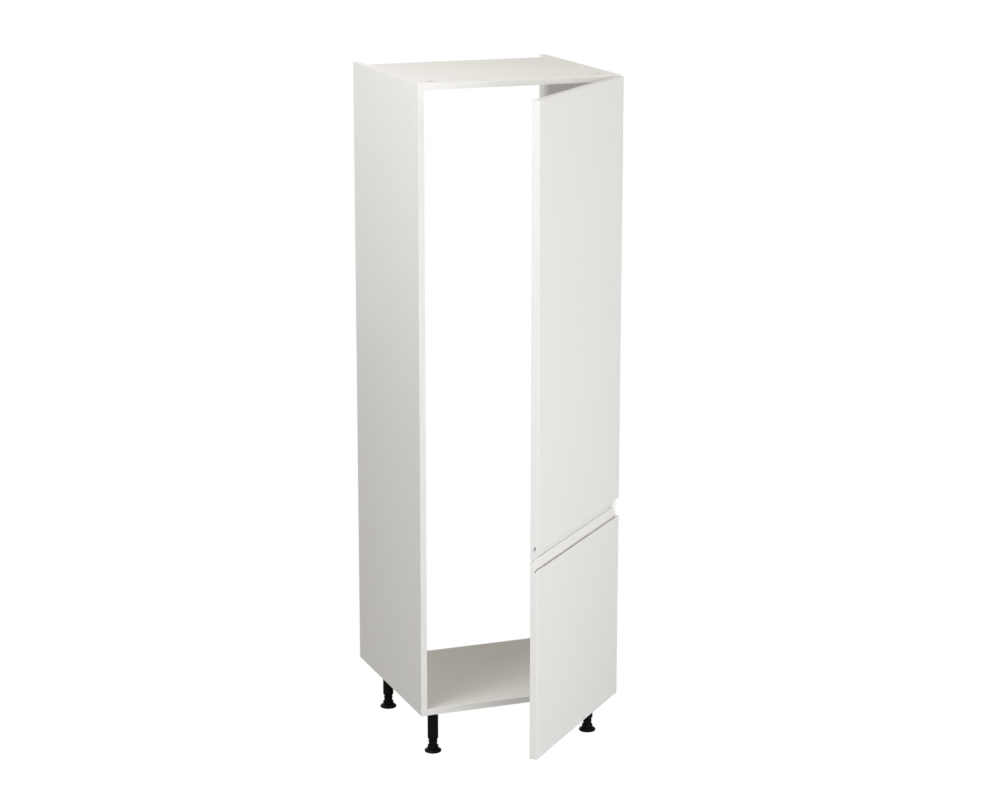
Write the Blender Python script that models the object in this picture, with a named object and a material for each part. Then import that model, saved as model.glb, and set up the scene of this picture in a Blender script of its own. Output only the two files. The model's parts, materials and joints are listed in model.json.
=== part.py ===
"""Tall kitchen housing for a built-in fridge-freezer: an open-backed carcass, two doors with J pulls, and four legs.

Metres, +Z up, the doors at -Y. The doors stand part open, as the cabinet is shown. Places are first given from
the floor under the middle of the carcass's front plane, and at the end one empty moves the whole cabinet so that
the middle of its footprint lies on the origin.
"""

import math

import bmesh
import bpy
from mathutils import Matrix, Vector

# Carcass
CARCASS_WIDTH = 0.600
CARCASS_DEPTH = 0.560
CARCASS_HEIGHT = 1.812
PANEL_THICKNESS = 0.018
REAR_SETBACK = 0.070
SEAT_GAP = 0.0003
PANEL_ARRIS = 0.0006

# Doors
DOOR_THICKNESS = 0.022
DOOR_SIDE_REVEAL = 0.0015
DOOR_END_REVEAL = 0.0015
DOOR_BACK_GAP = 0.002
DOOR_JOINT_GAP = 0.003
DOOR_JOINT_HEIGHT = 0.566
DOOR_ARRIS = 0.0028
DOOR_BACK_ARRIS = 0.0008
DOOR_OPEN_ANGLE = math.radians(45.0)

# J pull, cut into one end of each door
PULL_LIP_THICKNESS = 0.005
PULL_LEAF_THICKNESS = 0.004
PULL_CHANNEL_DEPTH = 0.0145
LOWER_LIP_DROP = 0.0235
UPPER_LIP_DROP = 0.0285

# Hinge: the door's turning axis, measured from its outer edge and from its back face
AXIS_FROM_EDGE = 0.0072
AXIS_FROM_BACK = 0.014

# Hinge cup
CUP_RADIUS = 0.0173
CUP_WALL = 0.0013
CUP_DEPTH = 0.0125
CUP_FROM_EDGE = 0.0225
CUP_FLANGE_THICKNESS = 0.0012
CUP_FLANGE_RIM = 0.0012
CUP_WING_WIDTH = 0.022
CUP_WING_REACH = 0.031
CUP_PIN_RADIUS = 0.0015
CUP_PIN_OFFSET = 0.009
CUP_PIN_DEPTH = 0.006

# Hinge link
LINK_LENGTH = 0.048
LINK_THICKNESS = 0.0024
LINK_EYE_RADIUS = 0.0032
LINK_TAIL_RADIUS = 0.003
LINK_TAIL_FROM_PANEL = 0.0195

# Hinge arm and its mounting plate
ARM_FRONT = 0.001
ARM_LENGTH = 0.072
ARM_INNER_HEIGHT = 0.0136
ARM_WALL = 0.0016
ARM_INNER_DEPTH = 0.0215
PLATE_THICKNESS = 0.002
PLATE_FRONT = 0.020
PLATE_LENGTH = 0.048
PLATE_HEIGHT = 0.018
PLATE_WING_FROM_FRONT = 0.037
PLATE_WING_LENGTH = 0.014
PLATE_WING_REACH = 0.026

# Where the hinges sit, measured from the ends of the doors
HINGE_FROM_PLAIN_END = 0.100
HINGE_FROM_PULL_END = 0.120
UPPER_HINGE_COUNT = 3
LOWER_HINGE_COUNT = 2

# Door buffers
BUFFER_RADIUS = 0.004
BUFFER_THICKNESS = 0.0014
BUFFER_FROM_END = 0.060

# Cam fittings between the sides and the top and bottom panels
CAM_RADIUS = 0.0073
CAM_THICKNESS = 0.0135
CAM_FROM_SIDE = 0.034
CAM_FROM_FRONT = 0.042
CAM_FROM_BACK = 0.042
CAM_SLOT_LENGTH = 0.009
CAM_SLOT_WIDTH = 0.0016
CAM_SLOT_DEPTH = 0.0015
BOLT_HEAD_RADIUS = 0.003
BOLT_HEAD_LENGTH = 0.003
BOLT_SHANK_RADIUS = 0.002
BOLT_COLLAR_RADIUS = 0.0034
BOLT_COLLAR_LENGTH = 0.002
BOLT_THREAD_RADIUS = 0.0026
BOLT_THREAD_LENGTH = 0.010
BOLT_HEAD_PAST_CAM = 0.0015

# Legs
LEG_HEIGHT = 0.135
LEG_FROM_SIDE = 0.057
LEG_FROM_FRONT = 0.062
LEG_FROM_BACK = 0.097
SOCKET_FLANGE_RADIUS = 0.030
SOCKET_FLANGE_THICKNESS = 0.004
SOCKET_SPIGOT_LENGTH = 0.018
SLEEVE_RADIUS = 0.0155
SLEEVE_WALL = 0.0018
SLEEVE_FOOT_GAP = 0.0175
SLEEVE_ROUNDING = 0.002
FOOT_RADIUS = 0.0244
FOOT_RIM_HEIGHT = 0.0042
FOOT_RIM_ROUNDING = 0.0012
FOOT_SHOULDER_HEIGHT = 0.0135
FOOT_COLLAR_HEIGHT = 0.0235
FOOT_COLLAR_RADIUS = 0.0158
FOOT_COLLAR_CHAMFER = 0.0025
STEM_ROOT_RADIUS = 0.012
STEM_TOP_HEIGHT = 0.090
STEM_PITCH = 0.0085
STEM_CREST_WIDTH = 0.0045

# Fit and cuts
RUNNING_GAP = 0.0003
CUT_OVERRUN = 0.002
MERGE_DISTANCE = 0.000001

# Counts and angles
ROUND_STEPS = 24
SMALL_ROUND_STEPS = 12
ARC_STEPS = 8
LIP_ARC_STEPS = 6
ARRIS_STEPS = 2
DOOR_ARRIS_STEPS = 3
SHARP_ANGLE = math.radians(50.0)

# Shares
ROUNDING_LIMIT_SHARE = 0.75

# Derived places, from the floor under the middle of the front plane
CARCASS_HALF = CARCASS_WIDTH / 2
INNER_HALF = CARCASS_HALF - PANEL_THICKNESS
CARCASS_TOP = LEG_HEIGHT + CARCASS_HEIGHT
SHELF_DEPTH = CARCASS_DEPTH - REAR_SETBACK
DOOR_WIDTH = CARCASS_WIDTH - DOOR_SIDE_REVEAL * 2
LOWER_DOOR_HEIGHT = DOOR_JOINT_HEIGHT - DOOR_JOINT_GAP / 2 - DOOR_END_REVEAL
UPPER_DOOR_HEIGHT = CARCASS_HEIGHT - DOOR_JOINT_HEIGHT - DOOR_JOINT_GAP / 2 - DOOR_END_REVEAL
AXIS_X = CARCASS_HALF - DOOR_SIDE_REVEAL - AXIS_FROM_EDGE
AXIS_Y = -DOOR_BACK_GAP - AXIS_FROM_BACK


# Turns a flat XY outline and its pull along Z into a YZ outline pulled along X
ALONG_X = Matrix(((0.0, 0.0, 1.0), (1.0, 0.0, 0.0), (0.0, 1.0, 0.0))).to_4x4()


def make_material(name, colour, roughness, metallic=0.0):
    """Makes a plain Principled material."""
    material = bpy.data.materials.new(name)
    material.use_nodes = True
    shader = material.node_tree.nodes["Principled BSDF"]
    shader.inputs["Base Color"].default_value = (*colour, 1.0)
    shader.inputs["Roughness"].default_value = roughness
    shader.inputs["Metallic"].default_value = metallic
    material.diffuse_color = (*colour, 1.0)
    return material


def make_frame(name, location, parent=None, turn=0.0):
    """Adds an empty that carries a body, on the axis that the body turns about."""
    frame = bpy.data.objects.new(name, None)
    frame.location = location
    frame.rotation_euler = (0.0, 0.0, turn)
    frame.parent = parent
    bpy.context.collection.objects.link(frame)
    return frame


def finish_mesh(name, shape):
    """Turns a bmesh into a mesh with its faces pointing out, shaded smooth except over its sharp edges."""
    bmesh.ops.remove_doubles(shape, verts=shape.verts, dist=MERGE_DISTANCE)
    bmesh.ops.recalc_face_normals(shape, faces=shape.faces)
    mesh = bpy.data.meshes.new(name)
    shape.to_mesh(mesh)
    shape.free()
    mesh.shade_smooth()
    mesh.set_sharp_from_angle(angle=SHARP_ANGLE)
    return mesh


def add_part(name, mesh, material, frame, location, rotation=(0.0, 0.0, 0.0)):
    """Places one named piece on its body's frame."""
    part = bpy.data.objects.new(name, mesh)
    part.data.materials.append(material)
    part.parent = frame
    part.location = location
    part.rotation_euler = rotation
    bpy.context.collection.objects.link(part)
    return part


def block_shape(low, high):
    """A box between two corners."""
    shape = bmesh.new()
    size = Vector(high) - Vector(low)
    middle = (Vector(high) + Vector(low)) / 2
    bmesh.ops.create_cube(shape, size=1.0, matrix=Matrix.Translation(middle) @ Matrix.Diagonal((*size, 1.0)))
    return shape


def extruded_shape(outline, length, turn=None):
    """A flat XY outline pulled along +Z, then turned to where it is wanted."""
    shape = bmesh.new()
    face = shape.faces.new([shape.verts.new((x, y, 0.0)) for x, y in outline])
    pulled = bmesh.ops.extrude_face_region(shape, geom=[face])
    moved = [item for item in pulled["geom"] if isinstance(item, bmesh.types.BMVert)]
    bmesh.ops.translate(shape, verts=moved, vec=(0.0, 0.0, length))
    if turn is not None:
        bmesh.ops.transform(shape, matrix=turn, verts=shape.verts)
    return shape


def turned_shape(outline, steps=ROUND_STEPS):
    """A closed outline of (radius, height) points spun about Z."""
    shape = bmesh.new()
    verts = [shape.verts.new((radius, 0.0, height)) for radius, height in outline]
    edges = [shape.edges.new((a, b)) for a, b in zip(verts, verts[1:])]
    if outline[0][0] > 0.0 or outline[-1][0] > 0.0:
        edges.append(shape.edges.new((verts[-1], verts[0])))
    bmesh.ops.spin(
        shape,
        geom=verts + edges,
        axis=(0.0, 0.0, 1.0),
        cent=(0.0, 0.0, 0.0),
        angle=math.tau,
        steps=steps,
        use_merge=True,
    )
    return shape


def cylinder_outline(radius, low, high):
    """The turned outline of a plain cylinder."""
    return [(0.0, low), (radius, low), (radius, high), (0.0, high)]


def placed(shape, matrix):
    """The same shape, moved by a matrix."""
    bmesh.ops.transform(shape, matrix=matrix, verts=shape.verts)
    return shape


def joined(shapes):
    """Several separate shapes as one mesh, for a cutter with several tools."""
    whole = bmesh.new()
    for shape in shapes:
        bmesh.ops.recalc_face_normals(shape, faces=shape.faces)
        piece = bpy.data.meshes.new("tool")
        shape.to_mesh(piece)
        shape.free()
        whole.from_mesh(piece)
        bpy.data.meshes.remove(piece)
    return whole


def add_boolean(part, shape, operation="DIFFERENCE"):
    """Cuts or adds a shape, given in the part's own frame."""
    tool = bpy.data.objects.new(part.name + "_tool", finish_mesh(part.name + "_tool", shape))
    tool.parent = part.parent
    tool.location = part.location
    tool.rotation_euler = part.rotation_euler
    tool.hide_render = True
    tool.display_type = "WIRE"
    bpy.context.collection.objects.link(tool)
    change = part.modifiers.new(operation.lower(), "BOOLEAN")
    change.operation = operation
    change.object = tool
    return part


def add_arris(part, width):
    """Rounds a part's sharp edges a little."""
    change = part.modifiers.new("arris", "BEVEL")
    change.width = width
    change.segments = ARRIS_STEPS
    change.limit_method = "ANGLE"
    change.angle_limit = SHARP_ANGLE
    return part


def arc_points(centre, radius, start, end, steps):
    """Points along an arc, both ends included."""
    angles = [start + (end - start) * step / steps for step in range(steps + 1)]
    return [(centre[0] + radius * math.cos(a), centre[1] + radius * math.sin(a)) for a in angles]


def edge_tool(place, out, radius, low, high):
    """What rounds one upright edge: the corner outside its arc, from one height to another.

    The edge stands at place, and out gives the signs of X and Y that point out of the body there.
    """
    outline = []
    for step in range(DOOR_ARRIS_STEPS + 1):
        turn = math.pi / 2 * step / DOOR_ARRIS_STEPS
        inset = (radius - radius * math.sin(turn), radius - radius * math.cos(turn))
        outline.append((place[0] - out[0] * inset[0], place[1] - out[1] * inset[1]))
    outline.append((place[0] + out[0] * CUT_OVERRUN, place[1] - out[1] * radius))
    outline.append((place[0] + out[0] * CUT_OVERRUN, place[1] + out[1] * CUT_OVERRUN))
    outline.append((place[0] - out[0] * radius, place[1] + out[1] * CUT_OVERRUN))
    return extruded_shape(outline, high - low, Matrix.Translation((0.0, 0.0, low)))


def side_name(side):
    """The word for a side, -1 for the left and 1 for the right."""
    return "left" if side < 0 else "right"


def cam_places():
    """The middle of each cam: its level, row and side names, X and Y."""
    for level in ("top", "bottom"):
        for row, y in (("front", CAM_FROM_FRONT), ("rear", SHELF_DEPTH - CAM_FROM_BACK)):
            for side in (-1, 1):
                yield level, row, side, side * (INNER_HALF - CAM_FROM_SIDE), y


def cam_axis_height(level):
    """The height of the bolts' axis: halfway through the top or the bottom panel."""
    if level == "top":
        return CARCASS_TOP - PANEL_THICKNESS / 2
    return LEG_HEIGHT + PANEL_THICKNESS / 2


def cam_face(level):
    """The height of the panel face that the cams are let into, and the way that it faces."""
    return (CARCASS_TOP, 1) if level == "top" else (LEG_HEIGHT, -1)


def outward(side):
    """Turns local Z to point out of the carcass, to the left or the right."""
    return Matrix.Rotation(side * math.pi / 2, 4, "Y")


def bolt_holes(level, side, radius, low, high):
    """A level round hole for each bolt of one side, from one distance off the carcass's middle to another."""
    shapes = []
    for place, _, cam_side, _, y in cam_places():
        if cam_side == side and level in (place, None):
            hole = turned_shape(cylinder_outline(radius, low, high), SMALL_ROUND_STEPS)
            stand = Matrix.Translation((0.0, y, cam_axis_height(place))) @ outward(side)
            shapes.append(placed(hole, stand))
    return shapes


def build_carcass(frame, materials):
    """The two sides and the top and bottom panels, with the holes of their fittings."""
    for side in (-1, 1):
        inner, outer = side * INNER_HALF, side * CARCASS_HALF
        low = (min(inner, outer), 0.0, LEG_HEIGHT)
        high = (max(inner, outer), CARCASS_DEPTH, CARCASS_TOP)
        name = "side_panel_" + side_name(side)
        panel = add_part(name, finish_mesh(name, block_shape(low, high)), materials["board"], frame, (0.0, 0.0, 0.0))
        add_arris(panel, PANEL_ARRIS)
        radius = BOLT_THREAD_RADIUS + RUNNING_GAP
        end = INNER_HALF + BOLT_THREAD_LENGTH + RUNNING_GAP
        add_boolean(panel, joined(bolt_holes(None, side, radius, INNER_HALF - CUT_OVERRUN, end)))
    half = INNER_HALF - SEAT_GAP
    for level in ("top", "bottom"):
        base = CARCASS_TOP - PANEL_THICKNESS if level == "top" else LEG_HEIGHT
        name = level + "_panel"
        shape = block_shape((-half, 0.0, base), (half, SHELF_DEPTH, base + PANEL_THICKNESS))
        panel = add_part(name, finish_mesh(name, shape), materials["board"], frame, (0.0, 0.0, 0.0))
        add_arris(panel, PANEL_ARRIS)
        add_boolean(panel, joined(cam_pockets(level)))
        radius = BOLT_COLLAR_RADIUS + RUNNING_GAP
        start = INNER_HALF - CAM_FROM_SIDE
        holes = [bolt_holes(level, side, radius, start, INNER_HALF + CUT_OVERRUN) for side in (-1, 1)]
        add_boolean(panel, joined(holes[0] + holes[1]))


def cam_pockets(level):
    """The round pockets of the cams in one panel."""
    face, up = cam_face(level)
    shapes = []
    for place, _, _, x, y in cam_places():
        if place != level:
            continue
        depth = CAM_THICKNESS + RUNNING_GAP
        low, high = sorted((-depth * up, CUT_OVERRUN * up))
        pocket = turned_shape(cylinder_outline(CAM_RADIUS + RUNNING_GAP, low, high))
        shapes.append(placed(pocket, Matrix.Translation((x, y, face))))
    return shapes


def build_cams(frame, materials):
    """The cam discs, each with its slot and the hole for the bolt's head, and the bolts."""
    for level, row, side, x, y in cam_places():
        face, up = cam_face(level)
        low, high = sorted((-CAM_THICKNESS * up, 0.0))
        name = "_".join(("cam_lock", level, row, side_name(side)))
        mesh = finish_mesh(name, turned_shape(cylinder_outline(CAM_RADIUS, low, high)))
        cam = add_part(name, mesh, materials["zinc"], frame, (x, y, face))
        slot_low = (-CAM_SLOT_LENGTH / 2, -CAM_SLOT_WIDTH / 2, min(-CAM_SLOT_DEPTH * up, CUT_OVERRUN * up))
        slot_high = (CAM_SLOT_LENGTH / 2, CAM_SLOT_WIDTH / 2, max(-CAM_SLOT_DEPTH * up, CUT_OVERRUN * up))
        radius = BOLT_HEAD_RADIUS + RUNNING_GAP
        hole = turned_shape(
            cylinder_outline(radius, -BOLT_HEAD_PAST_CAM - RUNNING_GAP, CAM_RADIUS + CUT_OVERRUN), SMALL_ROUND_STEPS
        )
        stand = Matrix.Translation((0.0, 0.0, cam_axis_height(level) - face)) @ outward(side)
        add_boolean(cam, joined([block_shape(slot_low, slot_high), placed(hole, stand)]))
        build_bolt("_".join((level, row, side_name(side))), frame, materials, side, (y, cam_axis_height(level)))


def build_bolt(ending, frame, materials, side, place):
    """A cam's bolt. Local Z runs from the cam to the side panel and starts at the panel's inner face."""
    end = -CAM_FROM_SIDE - BOLT_HEAD_PAST_CAM
    outline = [
        (0.0, end),
        (BOLT_HEAD_RADIUS, end),
        (BOLT_HEAD_RADIUS, end + BOLT_HEAD_LENGTH),
        (BOLT_SHANK_RADIUS, end + BOLT_HEAD_LENGTH),
        (BOLT_SHANK_RADIUS, -BOLT_COLLAR_LENGTH),
        (BOLT_COLLAR_RADIUS, -BOLT_COLLAR_LENGTH),
        (BOLT_COLLAR_RADIUS, -SEAT_GAP),
        (BOLT_THREAD_RADIUS, -SEAT_GAP),
        (BOLT_THREAD_RADIUS, BOLT_THREAD_LENGTH),
        (0.0, BOLT_THREAD_LENGTH),
    ]
    name = "cam_bolt_" + ending
    mesh = finish_mesh(name, turned_shape(outline, SMALL_ROUND_STEPS))
    turn = (0.0, side * math.pi / 2, 0.0)
    add_part(name, mesh, materials["nickel"], frame, (side * INNER_HALF, *place), turn)


def build_legs(frame, materials):
    """The four legs: a socket under the bottom panel, a sleeve on it, and a foot that screws up and down."""
    for row, y in (("front", LEG_FROM_FRONT), ("rear", CARCASS_DEPTH - LEG_FROM_BACK)):
        for side in (-1, 1):
            ending = "_".join((row, side_name(side)))
            x = side * (CARCASS_HALF - LEG_FROM_SIDE)
            build_socket(ending, frame, materials, x, y)
            build_sleeve(ending, frame, materials, x, y)
            foot_frame = make_frame("foot_axis_" + ending, (x, y, 0.0), frame)
            build_foot(ending, foot_frame, materials)


def build_socket(ending, frame, materials, x, y):
    """A round plate with a spigot that the sleeve is pushed on."""
    top = LEG_HEIGHT - SEAT_GAP
    under = top - SOCKET_FLANGE_THICKNESS
    spigot = SLEEVE_RADIUS - SLEEVE_WALL - RUNNING_GAP
    outline = [
        (0.0, under - SOCKET_SPIGOT_LENGTH),
        (spigot, under - SOCKET_SPIGOT_LENGTH),
        (spigot, under),
        (SOCKET_FLANGE_RADIUS, under),
        (SOCKET_FLANGE_RADIUS, top),
        (0.0, top),
    ]
    name = "leg_socket_" + ending
    add_part(name, finish_mesh(name, turned_shape(outline)), materials["black"], frame, (x, y, 0.0))


def build_sleeve(ending, frame, materials, x, y):
    """The straight outer tube of a leg, rounded at its lower end."""
    top = LEG_HEIGHT - SEAT_GAP - SOCKET_FLANGE_THICKNESS - SEAT_GAP
    foot = FOOT_COLLAR_HEIGHT + SLEEVE_FOOT_GAP
    bore = SLEEVE_RADIUS - SLEEVE_WALL
    rounding = min(SLEEVE_ROUNDING, SLEEVE_WALL * ROUNDING_LIMIT_SHARE)
    outline = [
        (bore, foot),
        (SLEEVE_RADIUS - rounding, foot),
        (SLEEVE_RADIUS, foot + rounding),
        (SLEEVE_RADIUS, top),
        (bore, top),
    ]
    name = "leg_sleeve_" + ending
    add_part(name, finish_mesh(name, turned_shape(outline)), materials["black"], frame, (x, y, 0.0))


def build_foot(ending, frame, materials):
    """The disc, the collar that a hand turns, and the coarse stem that runs in the sleeve."""
    crest = SLEEVE_RADIUS - SLEEVE_WALL - RUNNING_GAP
    outline = [
        (0.0, 0.0),
        (FOOT_RADIUS - FOOT_RIM_ROUNDING, 0.0),
        (FOOT_RADIUS, FOOT_RIM_ROUNDING),
        (FOOT_RADIUS, FOOT_RIM_HEIGHT - FOOT_RIM_ROUNDING),
        (FOOT_RADIUS - FOOT_RIM_ROUNDING, FOOT_RIM_HEIGHT),
        (FOOT_COLLAR_RADIUS, FOOT_SHOULDER_HEIGHT),
        (FOOT_COLLAR_RADIUS, FOOT_COLLAR_HEIGHT - FOOT_COLLAR_CHAMFER),
        (FOOT_COLLAR_RADIUS - FOOT_COLLAR_CHAMFER, FOOT_COLLAR_HEIGHT),
        (STEM_ROOT_RADIUS, FOOT_COLLAR_HEIGHT),
    ]
    height = FOOT_COLLAR_HEIGHT + STEM_PITCH
    while height + STEM_PITCH < STEM_TOP_HEIGHT:
        outline += [
            (STEM_ROOT_RADIUS, height - STEM_CREST_WIDTH / 2),
            (crest, height),
            (STEM_ROOT_RADIUS, height + STEM_CREST_WIDTH / 2),
        ]
        height += STEM_PITCH
    outline += [(STEM_ROOT_RADIUS, STEM_TOP_HEIGHT), (0.0, STEM_TOP_HEIGHT)]
    name = "leg_foot_" + ending
    add_part(name, finish_mesh(name, turned_shape(outline)), materials["black"], frame, (0.0, 0.0, 0.0))


def pull_outline(height, lip_drop):
    """A door's section, front to the left, with the J pull at its upper end and the depth along X."""
    leaf = DOOR_THICKNESS - PULL_LEAF_THICKNESS
    lip = height - lip_drop
    lip_radius = PULL_LIP_THICKNESS / 2
    channel_radius = (leaf - PULL_LIP_THICKNESS) / 2
    channel_centre = (PULL_LIP_THICKNESS + channel_radius, lip - PULL_CHANNEL_DEPTH + channel_radius)
    front = (DOOR_ARRIS, DOOR_ARRIS)
    back = (DOOR_THICKNESS - DOOR_BACK_ARRIS, DOOR_BACK_ARRIS)
    quarter = math.pi / 2
    outline = arc_points(front, DOOR_ARRIS, -quarter, -math.pi, DOOR_ARRIS_STEPS)
    outline += arc_points((lip_radius, lip - lip_radius), lip_radius, math.pi, 0.0, LIP_ARC_STEPS)
    outline += arc_points(channel_centre, channel_radius, math.pi, math.tau, ARC_STEPS)
    leaf_corner = (leaf + DOOR_BACK_ARRIS, height - DOOR_BACK_ARRIS)
    outline += arc_points(leaf_corner, DOOR_BACK_ARRIS, math.pi, quarter, ARRIS_STEPS)
    outline += arc_points((back[0], height - DOOR_BACK_ARRIS), DOOR_BACK_ARRIS, quarter, 0.0, ARRIS_STEPS)
    outline += arc_points(back, DOOR_BACK_ARRIS, 0.0, -quarter, ARRIS_STEPS)
    return outline


def hinge_heights(height, count):
    """The hinges' heights above a door's plain end, evenly spread."""
    span = height - HINGE_FROM_PLAIN_END - HINGE_FROM_PULL_END
    return [HINGE_FROM_PLAIN_END + span * step / (count - 1) for step in range(count)]


def build_door(level, frame, materials, height, lip_drop, pull_at_top, hinges):
    """One door, its hinge cups and its buffers. Local Z starts at the door's lower edge."""
    outline = pull_outline(height, lip_drop)
    if not pull_at_top:
        outline = [(depth, height - rise) for depth, rise in outline]
    front = AXIS_FROM_BACK - DOOR_THICKNESS
    free_edge = AXIS_FROM_EDGE - DOOR_WIDTH
    stand = Matrix.Translation((free_edge, front, 0.0)) @ ALONG_X
    name = level + "_door"
    mesh = finish_mesh(name, extruded_shape(outline, DOOR_WIDTH, stand))
    door = add_part(name, mesh, materials["door"], frame, (0.0, 0.0, 0.0))
    tools = []
    for x, out in ((free_edge, -1), (AXIS_FROM_EDGE, 1)):
        tools.append(edge_tool((x, front), (out, -1), DOOR_ARRIS, -CUT_OVERRUN, height + CUT_OVERRUN))
        tools.append(edge_tool((x, AXIS_FROM_BACK), (out, 1), DOOR_BACK_ARRIS, -CUT_OVERRUN, height + CUT_OVERRUN))
    add_boolean(door, joined(tools))
    cup_x = AXIS_FROM_EDGE - CUP_FROM_EDGE
    pockets = [
        placed(
            turned_shape(cylinder_outline(CUP_RADIUS + RUNNING_GAP, -CUT_OVERRUN, CUP_DEPTH + RUNNING_GAP)),
            Matrix.Translation((cup_x, AXIS_FROM_BACK, z)) @ Matrix.Rotation(math.pi / 2, 4, "X"),
        )
        for z in hinges
    ]
    add_boolean(door, joined(pockets))
    for number, z in enumerate(hinges, 1):
        build_cup("_".join((level, str(number))), frame, materials, (cup_x, AXIS_FROM_BACK, z))
    for place, z in (("bottom", BUFFER_FROM_END), ("top", height - BUFFER_FROM_END)):
        name = "_".join(("door_buffer", level, place))
        outline = cylinder_outline(BUFFER_RADIUS, SEAT_GAP, SEAT_GAP + BUFFER_THICKNESS)
        mesh = finish_mesh(name, turned_shape(outline, SMALL_ROUND_STEPS))
        x = free_edge - DOOR_SIDE_REVEAL + PANEL_THICKNESS / 2
        place = (x, AXIS_FROM_BACK, z)
        add_part(name, mesh, materials["clear"], frame, place, (-math.pi / 2, 0.0, 0.0))


def flange_outline():
    """The cup's flange seen from its face: a round rim with a wing above and below."""
    rim = CUP_RADIUS + CUP_FLANGE_RIM
    half = CUP_WING_WIDTH / 2
    bend = math.acos(half / rim)
    right = arc_points((0.0, 0.0), rim, -bend, bend, ARC_STEPS)
    left = arc_points((0.0, 0.0), rim, math.pi - bend, math.pi + bend, ARC_STEPS)
    upper = [(half, CUP_WING_REACH), (-half, CUP_WING_REACH)]
    lower = [(-half, -CUP_WING_REACH), (half, -CUP_WING_REACH)]
    return right + upper + left + lower


def build_cup(ending, frame, materials, place):
    """A hinge cup let into the door's back, with its flange, wings and pin. Local Z points out of the cup."""
    inner = CUP_RADIUS - CUP_WALL
    top = SEAT_GAP + CUP_FLANGE_THICKNESS
    flange = placed(extruded_shape(flange_outline(), CUP_FLANGE_THICKNESS), Matrix.Translation((0.0, 0.0, SEAT_GAP)))
    name = "hinge_cup_" + ending
    turn = (-math.pi / 2, 0.0, 0.0)
    cup = add_part(name, finish_mesh(name, flange), materials["nickel"], frame, place, turn)
    body = turned_shape(cylinder_outline(CUP_RADIUS, -CUP_DEPTH, SEAT_GAP + CUP_FLANGE_THICKNESS / 2))
    add_boolean(cup, body, "UNION")
    well = turned_shape(cylinder_outline(inner, CUP_WALL - CUP_DEPTH, top + CUT_OVERRUN))
    add_boolean(cup, well)
    reach = math.sqrt(inner ** 2 - CUP_PIN_OFFSET ** 2) + CUP_WALL / 2
    pin = turned_shape(cylinder_outline(CUP_PIN_RADIUS, -reach, reach), SMALL_ROUND_STEPS)
    stand = Matrix.Translation((-CUP_PIN_OFFSET, 0.0, -CUP_PIN_DEPTH)) @ Matrix.Rotation(math.pi / 2, 4, "X")
    add_boolean(cup, placed(pin, stand), "UNION")


def link_turn():
    """Where the link's tail points in the rest pose, against the door's own frame."""
    pin = Vector((AXIS_FROM_EDGE - CUP_FROM_EDGE - CUP_PIN_OFFSET, AXIS_FROM_BACK - CUP_PIN_DEPTH))
    pin = Matrix.Rotation(DOOR_OPEN_ANGLE, 2) @ pin + Vector((AXIS_X, AXIS_Y))
    across = INNER_HALF - LINK_TAIL_FROM_PANEL - pin.x
    return math.acos(across / LINK_LENGTH) - DOOR_OPEN_ANGLE


def link_outline():
    """The link seen from above: an eye on the pin, a bar and a round tail."""
    half = LINK_THICKNESS / 2
    eye = math.asin(half / LINK_EYE_RADIUS)
    tail = math.asin(half / LINK_TAIL_RADIUS)
    outline = arc_points((0.0, 0.0), LINK_EYE_RADIUS, eye, math.tau - eye, ARC_STEPS * 2)
    outline += arc_points((LINK_LENGTH, 0.0), LINK_TAIL_RADIUS, tail - math.pi, math.pi - tail, ARC_STEPS * 2)
    return outline


def build_links(level, frame, materials, hinges):
    """The links between the cups and the arms, which turn together on the cups' pins."""
    height = ARM_INNER_HEIGHT - RUNNING_GAP * 2
    for number, z in enumerate(hinges, 1):
        name = "_".join(("hinge_link", level, str(number)))
        mesh = finish_mesh(name, extruded_shape(link_outline(), height))
        link = add_part(name, mesh, materials["nickel"], frame, (0.0, 0.0, z - height / 2))
        hole = cylinder_outline(CUP_PIN_RADIUS + RUNNING_GAP, -CUT_OVERRUN, height + CUT_OVERRUN)
        add_boolean(link, turned_shape(hole, SMALL_ROUND_STEPS))


def build_arm(ending, frame, materials, z):
    """One hinge arm, a channel open to the side panel, on its mounting plate."""
    plate_face = INNER_HALF - SEAT_GAP - PLATE_THICKNESS
    root = plate_face - SEAT_GAP
    web = root - ARM_INNER_DEPTH - ARM_WALL
    outer = ARM_INNER_HEIGHT / 2 + ARM_WALL
    inner = ARM_INNER_HEIGHT / 2
    outline = [
        (web, -outer),
        (root, -outer),
        (root, -inner),
        (web + ARM_WALL, -inner),
        (web + ARM_WALL, inner),
        (root, inner),
        (root, outer),
        (web, outer),
    ]
    stand = Matrix.Rotation(math.pi / 2, 4, "X")
    name = "hinge_arm_" + ending
    mesh = finish_mesh(name, extruded_shape(outline, ARM_LENGTH, stand))
    add_part(name, mesh, materials["nickel"], frame, (0.0, ARM_FRONT + ARM_LENGTH, z))
    back = PLATE_FRONT + PLATE_LENGTH
    wing_front = PLATE_WING_FROM_FRONT - PLATE_WING_LENGTH / 2
    wing_back = PLATE_WING_FROM_FRONT + PLATE_WING_LENGTH / 2
    half = PLATE_HEIGHT / 2
    cross = [
        (PLATE_FRONT, -half),
        (wing_front, -half),
        (wing_front, -PLATE_WING_REACH),
        (wing_back, -PLATE_WING_REACH),
        (wing_back, -half),
        (back, -half),
        (back, half),
        (wing_back, half),
        (wing_back, PLATE_WING_REACH),
        (wing_front, PLATE_WING_REACH),
        (wing_front, half),
        (PLATE_FRONT, half),
    ]
    name = "hinge_plate_" + ending
    mesh = finish_mesh(name, extruded_shape(cross, PLATE_THICKNESS, ALONG_X))
    add_part(name, mesh, materials["nickel"], frame, (plate_face, 0.0, z))


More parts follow.
